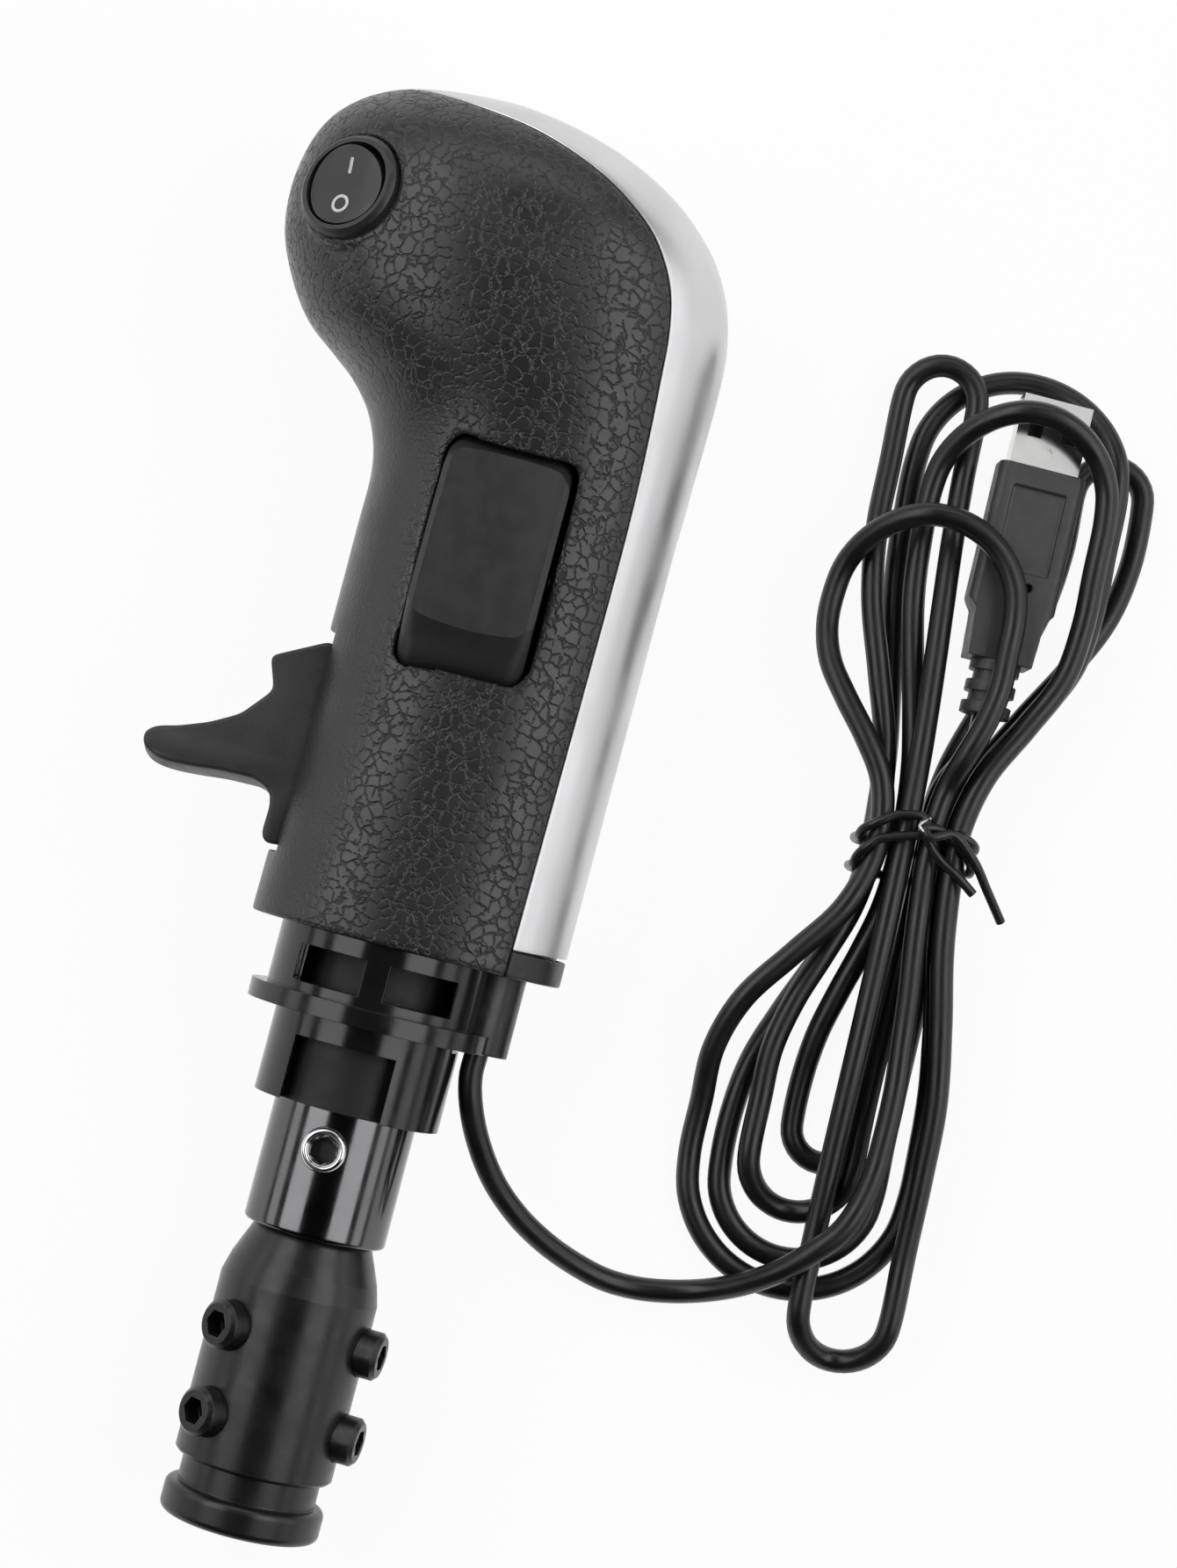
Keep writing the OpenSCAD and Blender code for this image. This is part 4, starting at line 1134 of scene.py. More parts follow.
@dataclass
class Lead:
    """The lead: free stretch, tied hank, wire tie and plug. Places are table millimetres."""

    diameter: float = 4.0
    length: float = 1.81
    lead_x: float = 18.4
    hank_at: Span = (90.0, 18.4)
    hank_turn: float = 2.4
    pitch: float = 4.5
    first_layer: float = 3.7
    waist_half: float = 4.0
    run_rings: int = 6
    arc_rings: int = 9
    lead_slot: tuple[int, int] = (2, 2)
    tail_slot: tuple[int, int] = (2, 1)
    tail_rings: int = 4
    cord_step: float = 1.2
    plug_at: Point = (23.7, 6.9, 10.4)
    plug_swing: float = -1.6
    plug_roll: float = 3.0
    relief_l: float = 9.2
    plug_w: float = 15.0
    plug_t: float = 7.6
    plug_l: float = 33.7
    plug_neck: tuple[Span, ...] = ((0.74, 0.0), (0.8, 8.0), (1.0, 9.8))
    plug_round: float = 1.7
    plug_voxel: float = 0.22
    panel_half: float = 0.62
    panel_span: Span = (0.46, 0.89)
    panel_deep: float = 0.7
    dimple: Span = (1.5, 1.6)
    dimple_at: Span = (1.7, 0.39)
    tie_d: float = 1.6
    tie_gap: float = 0.2
    tie_lift: float = 0.1
    tie_step: float = 0.35
    tie_core_d: float = 0.7
    tie_core_step: float = 0.3
    quarter_bends: tuple[float, ...] = (0.1, 22.5, 45, 67.5, 89.9)
    short_tail: tuple[Point, ...] = (
        (-6.7, 10.6, 15.6), (-4.4, 7.4, 16.2), (-2.4, 4, 16.5), (0, 1.6, 16.8), (1.8, 0.6, 17.4),
        (4, 0.2, 16.6), (4.2, -1.5, 16.1), (3.5, -4.7, 15.8),
    )
    long_tail: tuple[Point, ...] = (
        (1.4, 5.2, 16.4), (2.6, 2.4, 17.3), (2.1, 0.4, 18), (0.9, 1.3, 18.3), (1.5, 3.1, 18.1),
        (2.2, 5.1, 17.6), (-1.2, 9.5, 16.2), (-5.6, 13.1, 13.8), (-10, 16.7, 11),
    )
    bare_core: tuple[Point, ...] = (
        (4.1, 0.9, 16.9), (3.2, -0.2, 17.7), (2.4, -0.7, 18.1), (1.6, 0.2, 18.5),
    )
    first_turn: tuple[float, ...] = (2.2, -0.5, -0.8, 0.8, 2.4)
    second_turn: tuple[float, ...] = (-1.0, -5.4, -5.6, -3.0, 0.5)
    route: tuple[Point, ...] = (
        (28.6, -42.6, 19.4), (31.2, -48.1, 17.2), (35.5, -54.1, 14.2), (41, -58.9, 11.2), (46.5, -62.1, 8.4),
        (52, -64.3, 5.8), (57.5, -65.7, 3.8), (63, -65.9, 2.6), (68.5, -65.1, 2.5), (74, -63.5, 3.6),
        (79.5, -60.9, 6.8), (84.9, -57.1, 10.6), (89.3, -52.7, 13), (93.2, -48.1, 13.6), (95.2, -43.5, 13.6),
        (96.4, -37.8, 13.3), (96.7, -32.1, 13), (96.6, -23.1, 12.7), (95.8, -14.9, 12.7), (94.9, -6.4, 12.7),
        (93.7, 2.5, 12.7),
    )
    loops: tuple[Loop, ...] = (
        Loop(1, 54.5, (2, 2), (0, 2), (8, -22), (17.2, 17.4, 7), (1.4, 1.2), 2.3),
        Loop(-1, 78, (0, 2), (3, 1), (-26, 12), (2.1, 2.1, 2.6), (1.5, 1.2)),
        Loop(1, 83, (3, 1), (0, 0), (22, -12.5), (7.6, 2.1, 2.1), (1.6, 1.2)),
        Loop(-1, 73, (0, 0), (3, 0), (-20.5, 6), (2.1, 2.1, 2.1), (1.2, 1.2)),
        Loop(1, 72, (3, 0), (2, 0), (27.5, 15.5), (2.1, 2.1, 2.1), (1.2, 1.2)),
        Loop(-1, 56, (2, 0), (1, 1), (1.5, -10), (2.1, 2.1, 2.1), (1.2, 1.2)),
        Loop(1, 75, (1, 1), (3, 2), (-9.4, 20), (8.4, 17.6, 14), (1.2, 1.6)),
        Loop(-1, 88, (3, 2), (1, 2), (12.5, -3), (7.2, 2.6, 7.8), (1.7, 1.2)),
        Loop(1, 82, (1, 2), (0, 1), (-4.4, -17), (6.8, 6.8, 4.8), (1.2, 1.5)),
        Loop(-1, 65, (0, 1), (2, 1), (-16.5, 1), (6.8, 2.4, 6.8), (1.4, 1.2)),
    )

    def on_table(self, p: Point) -> Point:
        """Lays a point of the hank on the table.

        Args:
            p: The point along, across and above the hank.

        Returns:
            Its place in table millimetres.
        """
        a = math.radians(self.hank_turn)
        x = self.hank_at[0] + p[1] * math.cos(a) - p[0] * math.sin(a)
        y = self.hank_at[1] + p[1] * math.sin(a) + p[0] * math.cos(a)
        return (x, y, p[2])

    def column(self, i: int) -> float:
        """Place of a column of strands across the waist."""
        return (i - 1.5) * self.pitch

    def layer(self, i: int) -> float:
        """Height of a layer of strands at the waist."""
        return self.first_layer + i * self.pitch

    def run_point(self, loop: Loop, end: int, t: float) -> Point:
        """Point of a loop's run.

        Args:
            loop: The loop.
            end: 0 for its way out from the waist, 1 for its way back.
            t: Share of the way from the waist to the arc.

        Returns:
            The point along, across and above the hank.
        """
        slot = (loop.slot_in, loop.slot_out)[end]
        height = (loop.heights[0], loop.heights[2])[end]
        rise = (loop.rise, 1.0)[end]
        shoulder = loop.reach - abs(loop.offsets[1] - loop.offsets[0]) / 2
        return (
            loop.side * mix(self.waist_half, shoulder, t),
            mix(self.column(slot[0]), loop.offsets[end], ease(loop.spread[end] * t)),
            mix(self.layer(slot[1]), height, ease(rise * t) ** 2),
        )

    def arc_point(self, loop: Loop, q: float) -> Point:
        """Point of a loop's round end.

        Args:
            loop: The loop.
            q: Share of the way along it.

        Returns:
            The point along, across and above the hank.
        """
        half = (loop.offsets[1] - loop.offsets[0]) / 2
        start, top, end = loop.heights
        height = mix(start, top, ease(2 * q)) if q <= 0.5 else mix(top, end, ease(2 * q - 1))
        along = loop.reach - abs(half) + abs(half) * math.sin(math.pi * q)
        return (loop.side * along, sum(loop.offsets) / 2 - half * math.cos(math.pi * q), height)

    def hank_points(self) -> list[Point]:
        """Points of the hank, from its waist to the plug.

        Returns:
            The points in table millimetres.
        """
        points = [(0.0, self.column(self.lead_slot[0]), self.layer(self.lead_slot[1]))]
        for loop in self.loops:
            points += [self.run_point(loop, 0, k / self.run_rings) for k in range(self.run_rings)]
            points += [self.arc_point(loop, k / self.arc_rings) for k in range(self.arc_rings + 1)]
            points += [self.run_point(loop, 1, 1 - k / self.run_rings) for k in range(1, self.run_rings + 1)]
        swing = math.radians(self.plug_swing)
        back = Vector(self.plug_at) - self.diameter * Vector((math.cos(swing), -math.sin(swing), 0.0))
        start = (self.waist_half, self.column(self.tail_slot[0]), self.layer(self.tail_slot[1]))
        for k in range(self.tail_rings):
            t = k / self.tail_rings
            slow = ease(t) ** 2
            points.append(tuple(mix(a, b, share) for a, b, share in zip(start, back, (t, slow, slow))))
        points += [tuple(back), tuple(self.plug_at)]
        return [self.on_table(p) for p in points]

    def centreline(self) -> np.ndarray:
        """Whole centreline from the gland to the plug.

        Returns:
            Its points in table millimetres.
        """
        lay = Matrix.Scale(1 / MM, 4) @ LAID.matrix
        exits = [lay @ Vector((self.lead_x, 0.0, LAID.flange_z - drop)) for drop in (0.0, self.diameter)]
        across, high = self.column(self.lead_slot[0]), self.layer(self.lead_slot[1])
        joint = self.on_table((-self.diameter, across, high))
        points = [tuple(p) for p in exits] + list(self.route) + [joint] + self.hank_points()
        return smooth_path(points, self.cord_step)

    def wire(self, name: str, line: Iterable[Point], diameter: float) -> Piece:
        """Makes a round wire along a line.

        Args:
            name: Name of the piece.
            line: Its centreline in table millimetres.
            diameter: Its thickness in millimetres.

        Returns:
            The curve.
        """
        points = [Vector(tuple(p)) * MM for p in line]
        data = bpy.data.curves.new(name, "CURVE")
        data.dimensions = "3D"
        data.twist_mode = "MINIMUM"
        spline = data.splines.new("POLY")
        spline.points.add(len(points) - 1)
        spline.points.foreach_set("co", [c for p in points for c in (*p, 1.0)])
        spline.use_smooth = True
        data.bevel_depth = diameter / 2 * MM
        data.bevel_resolution = 4
        data.use_fill_caps = True
        made = bpy.data.objects.new(name, data)
        bpy.context.scene.collection.objects.link(made)
        return made

    def tie_turn(self, degrees: float, along: float) -> Point:
        """Point of a tie turn round the waist.

        Args:
            degrees: Its angle from the right.
            along: Its place along the hank.

        Returns:
            The point along, across and above the hank.
        """
        quarter = int(degrees // 90) % 4
        bend = math.radians(quarter * 90 + degrees % 90)
        r = self.diameter / 2 + self.tie_gap + self.tie_d / 2
        side = self.column(3 if quarter in (0, 3) else 0)
        level = self.layer(2 if quarter < 2 else 0)
        height = max(level + r * math.sin(bend), self.tie_d / 2 + self.tie_lift)
        return (along, side + r * math.cos(bend), height)

    def tie_wrap(self, corners: Sequence[float]) -> list[Point]:
        """Points of one tie turn from the top left round below to the top right.

        Args:
            corners: Places along the hank at each quarter of the turn.

        Returns:
            The points along, across and above the hank.
        """
        angles = [quarter * 90 + bend for quarter in range(1, 5) for bend in self.quarter_bends]
        places = np.interp(angles, (90, 180, 270, 360, 450), corners)
        return [self.tie_turn(angle, float(along)) for angle, along in zip(angles, places)]

    def tie_line(self) -> np.ndarray:
        """Centreline of the wire tie: a short tail, two turns, a knot and a long tail.

        Returns:
            Its points in table millimetres.
        """
        wraps = [*self.tie_wrap(self.first_turn), *self.tie_wrap(self.second_turn)]
        points = [self.on_table(p) for p in (*self.short_tail, *wraps, *self.long_tail)]
        return smooth_path(points, self.tie_step)

    def build_plug_body(self) -> Piece:
        """Makes the plug's overmould, with rounded edges, a sunk bare panel and two dimples.

        Returns:
            The overmould.
        """
        w, top, r = self.plug_w / 2, self.plug_t / 2, self.plug_round
        back, front = self.relief_l, self.relief_l + self.plug_l
        side = [(share * w, back + y) for share, y in self.plug_neck] + [(w, front)]
        body = pillar("plug_overmould", side + [(-x, y) for x, y in side[::-1]], -top, top)
        point_outwards(body)
        ring = [(math.copysign(w - r, x) + x, math.copysign(top - r, z) + z) for x, z in circle(r, 48)]
        bar = prism("bar", ring, (self.plug_l + PAST) / 2)
        carve(body, place(bar, Matrix.Translation((0.0, (back + front) / 2, 0.0))), Carve.KEEP)
        x, (low, high) = self.panel_half * w, (back + share * self.plug_l for share in self.panel_span)
        panel = [(-x, low), (x, low), (x, high), (-x, high)]
        carve(body, pillar("panel", panel, top - self.panel_deep, top + PAST), Carve.CUT)
        d, deep = self.dimple
        for x in (-self.dimple_at[0], self.dimple_at[0]):
            spot = Matrix.Translation((x, back + self.dimple_at[1] * self.plug_l, 0.0))
            pit = revolved("dimple", [(d / 2, top - deep), (d / 2, top + PAST)], sides=32)
            carve(body, place(pit, spot), Carve.CUT)
        even_out(body, self.plug_voxel, passes=3)
        lie = turned(self.hank_turn + self.plug_swing, "Z") @ turned(self.plug_roll, "Y")
        place(body, TABLE @ Matrix.Translation(self.on_table(self.plug_at)) @ lie)
        shade_smooth(body, angle=180.0)
        return stand_for(dress(body, OVERMOULD), Body.KNOB, "plug", "plug_body")

    def build(self) -> None:
        cord = dress(self.wire("usb_lead", self.centreline(), self.diameter), JACKET)
        stand_for(cord, Body.KNOB, "lead", "cable_lead", "cable_hank")
        tie = dress(self.wire("wire_tie", self.tie_line(), self.tie_d), TIE)
        stand_for(tie, Body.KNOB, "lead", "twist_tie")
        core_line = smooth_path([self.on_table(p) for p in self.bare_core], self.tie_core_step)
        core = stand_for(dress(self.wire("tie_core", core_line, self.tie_core_d), STEEL), Body.KNOB, "lead")
        plug = [
            dress_node("plug_strain_relief", OVERMOULD, soft=0.25), self.build_plug_body(),
            dress_node("plug_shell", NICKEL, soft=0.12), dress_node("plug_tongue", TONGUE, soft=0.1),
        ]
        leaves = LAID.matrix @ Vector((self.lead_x, 0.0, LAID.flange_z))


@dataclass
class Grip:
    """The moulded shell, the silver trim along its back and the trim's foot."""

    rim_z: float = 97.8
    handle_len: float = 74.0
    handle_front: float = 22.6
    handle_back: float = 29.0
    rim_half_w: float = 19.3
    neck_half_w: float = 21.2
    head_half_w: float = 26.2
    head_h: float = 65.3
    handle_roundness: float = 2.15
    front_flare: float = 0.7
    flare_share: float = 0.62
    back_lean: float = 0.3
    crown_start: float = 42.0
    widest_x: float = 1.0
    middle_share: float = 0.8
    wall: float = 3.2
    inset_most: float = 0.7
    trim_t: float = 1.6
    trim_gap: float = 0.3
    trim_play: float = 0.3
    trim_round: float = 0.4
    trim_low_x: float = 19.8
    trim_rows: int = 190
    foot_h: float = 4.4
    foot_gap: float = 0.15
    foot_play: float = 0.2
    foot_round: float = 0.35
    foot_rows: int = 6
    half_columns: int = 22
    column_fine: int = 160
    column_bunch: float = 2.4
    split_at: Point = (0.2, -7.9227, 161.0)
    split_w: float = 20.5
    split_r: float = 21.5
    split_edge: float = 2.8
    split_gap: float = 0.35
    split_room: Point = (0.6, 0.0, 1.0)
    lever_w: float = 14.0
    lever_gap: float = 0.4
    lever_pivot: Span = (-12.5, 123.8)
    slot_span: Span = (-15.8, 21.4)
    seat: Point = (-35.6, -18.1, 213.8)
    switch_turn: float = 30.0
    switch_pitch: float = 8.0
    bezel_d: float = 17.6
    bezel_room: float = 0.8
    boss_room: float = 1.6
    boss_deep: float = 6.0
    switch_d: float = 16.0
    switch_room: float = 0.1
    post_reach: float = 20.0
    beyond: float = 80.0
    voxel: float = 0.5
    sides: int = 128
    station_step: float = 0.6
    line_step: float = 0.8
    slant: float = 0.7
    handle_shares: tuple[float, ...] = (0, 0.14, 0.34, 0.62, 0.88, 1)
    head: tuple[Point, ...] = (
        (5, -23.5, 29.3, 0.82, 2.17), (10.5, -26, 29.4, 0.845, 2.2), (15, -29.8, 29.5, 0.876, 2.22),
        (18.5, -34.2, 29.6, 0.904, 2.25), (22.5, -39.3, 29.7, 0.934, 2.25), (28.6, -43.6, 29.7, 0.972, 2.25),
        (35.5, -46.6, 29.1, 0.998, 2.22), (42.4, -47.4, 27.1, 0.996, 2.2), (48, -46.8, 23.9, 0.962, 2.2),
        (52, -45.7, 20.2, 0.905, 2.2), (55.5, -43.9, 16, 0.825, 2.2), (58.5, -41.3, 11, 0.72, 2.15),
        (61, -38, 5.5, 0.6, 2.1), (63, -33.5, -1.4, 0.455, 2.1), (64.3, -28, -8, 0.3, 2),
        (65.3, -22, -13, 0.13, 2),
    )
    trim_edge: tuple[Span, ...] = (
        (20.6, -23), (20.8, -1.2), (20.6, 9.6), (19.9, 23.8), (19.2, 32.6), (17.6, 39.1), (13.6, 45.8),
        (7.7, 50.9), (-0.3, 55.3), (-10.1, 58.8), (-20.5, 60.8), (-31, 62.6),
    )

    @property
    def neck_z(self) -> float:
        """Height of the neck, where the head starts."""
        return self.rim_z + self.handle_len

    @cached_property
    def stations(self) -> np.ndarray:
        """Fine rows of height, front, back, half width and roundness from the rim to the crown."""
        rows = []
        for s in self.handle_shares:
            front = -self.handle_front - self.front_flare * (1 - min(1, s / self.flare_share))
            half = mix(self.rim_half_w, self.neck_half_w, s)
            back = self.handle_back + self.back_lean * (s - 0.5)
            rows.append((self.rim_z + s * self.handle_len, front, back, half, self.handle_roundness))
        for up, front, back, share, roundness in self.head:
            rows.append((self.neck_z + up, front, back, self.head_half_w * share, roundness))
        table = np.array(rows)
        return smooth_path(rows, self.station_step).clip(table.min(axis=0), table.max(axis=0))

    def middle(self, front: Any, back: Any) -> Any:
        """Place between front and back at which the grip is widest."""
        return mix(self.widest_x, (front + back) / 2, self.middle_share)

    def section(self, row: np.ndarray, inset: float) -> np.ndarray:
        """Egg-shaped ring of the grip at one station.

        Args:
            row: The station.
            inset: How far the ring is pulled in.

        Returns:
            Points round the section.
        """
        z, front, back, half, roundness = row
        crown = max(0.0, (z - self.neck_z - self.crown_start) / (self.head_h - self.crown_start))
        shrink = min(inset, half * self.inset_most)
        c, s = squarish(turns(self.sides), 2 / roundness)
        front, back = front + shrink, back - shrink
        mid = self.middle(front, back)
        x = np.where(c > 0, mid + c * (back - mid), mid + c * (mid - front))
        return np.stack([x, s * (half - shrink), np.full(self.sides, z - inset * crown)], axis=1)

    def form(self, name: str, inset: float) -> Piece:
        """Makes the grip's solid form, which reaches past the rim if it is pulled in.

        Args:
            name: Name of the piece.
            inset: How far it is pulled in.

        Returns:
            The solid.
        """
        rows = self.stations
        if inset:
            below = rows[0].copy()
            below[0] -= PAST
            rows = np.vstack([below, rows])
        return lofted(name, np.array([self.section(row, inset) for row in rows]))

    def half_width(self, x: np.ndarray, z: np.ndarray) -> np.ndarray:
        """Half width of the grip at places of its side view.

        Args:
            x: Places from the front to the back.
            z: Their heights.

        Returns:
            The half widths.
        """
        rows = self.stations
        front, back, half, roundness = (np.interp(z, rows[:, 0], rows[:, k]) for k in range(1, 5))
        mid = self.middle(front, back)
        c = np.where(x > mid, (x - mid) / (back - mid), (mid - x) / (mid - front)).clip(0.0, 1.0)
        return half * (1 - c ** roundness) ** (1 / roundness)

    def edge_line(self, low_z: float, gap: float) -> np.ndarray:
        """Side view of the trim's edge, up to the crown.

        Args:
            low_z: Height at which it starts.
            gap: How far it is moved outwards.

        Returns:
            Points of x and z.
        """
        points = [(self.trim_low_x + gap, low_z)]
        off = self.slant * gap
        points += [(x + off, self.neck_z + z + off) for x, z in self.trim_edge]
        return smooth_path(points, self.line_step)

    def switch_frame(self) -> Matrix:
        """Matrix from the switch's frame, +Z out of the head, to the upright frame."""
        lean = turned(-self.switch_turn, "Z") @ turned(90.0 - self.switch_pitch, "X")
        return Matrix.Translation(self.seat) @ lean

    def post(self, diameter: float, low: float, high: float) -> Piece:
        """Makes a round post in the switch's frame."""
        return place(revolved("post", [(diameter / 2, low), (diameter / 2, high)]), self.switch_frame())

    def drum(self, moved: Point) -> Piece:
        """Makes the rounded drum that clears the splitter rocker.

        Args:
            moved: Room by which it is moved.

        Returns:
            The drum.
        """
        half, r = self.split_w / 2 + self.split_gap, self.split_r + self.split_gap
        low = rounded_foot(r, -half, self.split_edge, steps=9)
        profile = low + [(x, -z) for x, z in low[::-1]]
        at = Matrix.Translation(Vector(self.split_at) + Vector(moved))
        return place(revolved("drum", profile, sides=160), at @ turned(90.0, "Y"))

    def build_shell(self) -> Piece:
        """Makes the shell, with softened edges at its openings.

        Returns:
            The shell, laid on the table.
        """
        shell, far, reach = self.form("moulded_shell", 0.0), self.beyond, self.post_reach
        low, high = self.rim_z - PAST, self.neck_z + far
        edge = [tuple(p) for p in self.edge_line(low, 0.0)]
        carve(shell, prism("zone", [*edge, (edge[-1][0], high), (far, high), (far, low)], far), Carve.CUT)
        below = block("below", (-far, far), (self.rim_z - far, self.rim_z), far)
        carve(shell, carve(self.form("under_trim", self.trim_t), below, Carve.CUT), Carve.JOIN)
        boss_d = self.bezel_d + self.boss_room
        carve(shell, self.post(boss_d, -self.boss_deep, 0.0), Carve.JOIN)
        hollow = carve(self.form("hollow", self.wall), self.post(boss_d, -self.boss_deep, reach), Carve.CUT)
        x, z = self.lever_pivot
        slot_z = (z + self.slot_span[0], z + self.slot_span[1])
        for tool in (
            hollow, self.post(self.switch_d + self.switch_room, -reach, reach),
            self.post(self.bezel_d + self.bezel_room, 0.0, reach), self.drum((0.0, 0.0, 0.0)),
            self.drum(self.split_room), block("slot", (-far, x), slot_z, self.lever_w / 2 + self.lever_gap),
        ):
            carve(shell, tool, Carve.CUT)
        even_out(shell, self.voxel, passes=5)
        place(shell, LAID.matrix)
        shade_smooth(shell, angle=180.0)
        return shell

    def back_line(self, low_z: float, high_z: float | None = None) -> np.ndarray:
        """Side view of the grip's back, from a height upwards.

        Args:
            low_z: Height at which it starts.
            high_z: Height at which it ends, or none if it runs over the crown to the trim's tip.

        Returns:
            Points of x and z.
        """
        rows = self.stations
        line = rows[rows[:, 0] >= low_z][:, (2, 0)]
        if high_z is None:
            front = rows[::-1][:, (1, 0)]
            line = np.vstack([line, front[:np.argmax(front[:, 0] < self.trim_edge[-1][0])]])
        else:
            line = line[line[:, 1] <= high_z]
        return smooth_path(line, self.line_step)

    def strip(self, name: str, edge: np.ndarray, back: np.ndarray, rows: int) -> Piece:
        """Makes a sheet on the grip's surface, from an edge on one side round the back to the other.

        Args:
            name: Name of the piece.
            edge: Side view of the sheet's edge.
            back: Side view of the grip's back along it.
            rows: Number of rows along it.

        Returns:
            The sheet.
        """
        grid = []
        t = 1 - (1 - np.linspace(0.0, 1.0, self.column_fine)) ** self.column_bunch
        for start, end in zip(spaced(edge, rows), spaced(back, rows)):
            x, z = (mix(start[k], end[k], t) for k in (0, 1))
            y = self.half_width(x, z)
            y[-1] = 0.0
            side = spaced(np.stack([x, -y, z], axis=1), self.half_columns + 1)
            grid.append(np.vstack([side, side[-2::-1] * (1, -1, 1)]))
        points = np.array(grid)
        return add_piece(name, points.reshape(-1, 3), quads(*points.shape[:2], (False, False)))

    def thicken(self, sheet: Piece, thickness: float, edge: float) -> Piece:
        """Gives a sheet its thickness inwards and rounds its edges.

        Args:
            sheet: The sheet.
            thickness: Its thickness in millimetres.
            edge: Rounding of its edges in millimetres.

        Returns:
            The laid piece.
        """
        solid = sheet.modifiers.new("thickness", "SOLIDIFY")
        solid.thickness = thickness
        solid.offset = -1.0
        soft = sheet.modifiers.new("soft_edges", "BEVEL")
        soft.width = edge
        soft.segments = 4
        soft.limit_method = "ANGLE"
        soft.angle_limit = math.radians(50.0)
        settle(sheet)
        place(sheet, LAID.matrix)
        shade_smooth(sheet, angle=40.0)
        return sheet

    def build(self) -> None:
        """Makes and dresses the shell, the trim and its foot."""
        shell = dress(self.build_shell(), SHELL)
        stand_for(shell, Body.KNOB, "grip", "grip_shell")
        low = self.rim_z + self.foot_h
        edge = self.edge_line(low, self.trim_gap)
        trim = self.strip("silver_trim", edge, self.back_line(low), self.trim_rows)
        dress(self.thicken(trim, self.trim_t - self.trim_play, self.trim_round), TRIM)
        stand_for(trim, Body.KNOB, "trim", "back_trim")
        x, top = self.trim_low_x + self.trim_gap, low - self.foot_gap
        edge = np.array([(x, self.rim_z), (x, top)])
        foot = self.strip("shoe_under_trim", edge, self.back_line(self.rim_z, top), self.foot_rows)
        dress(self.thicken(foot, self.trim_t - self.foot_play, self.foot_round), FOOT)
        stand_for(foot, Body.KNOB, "control", "trim_foot")


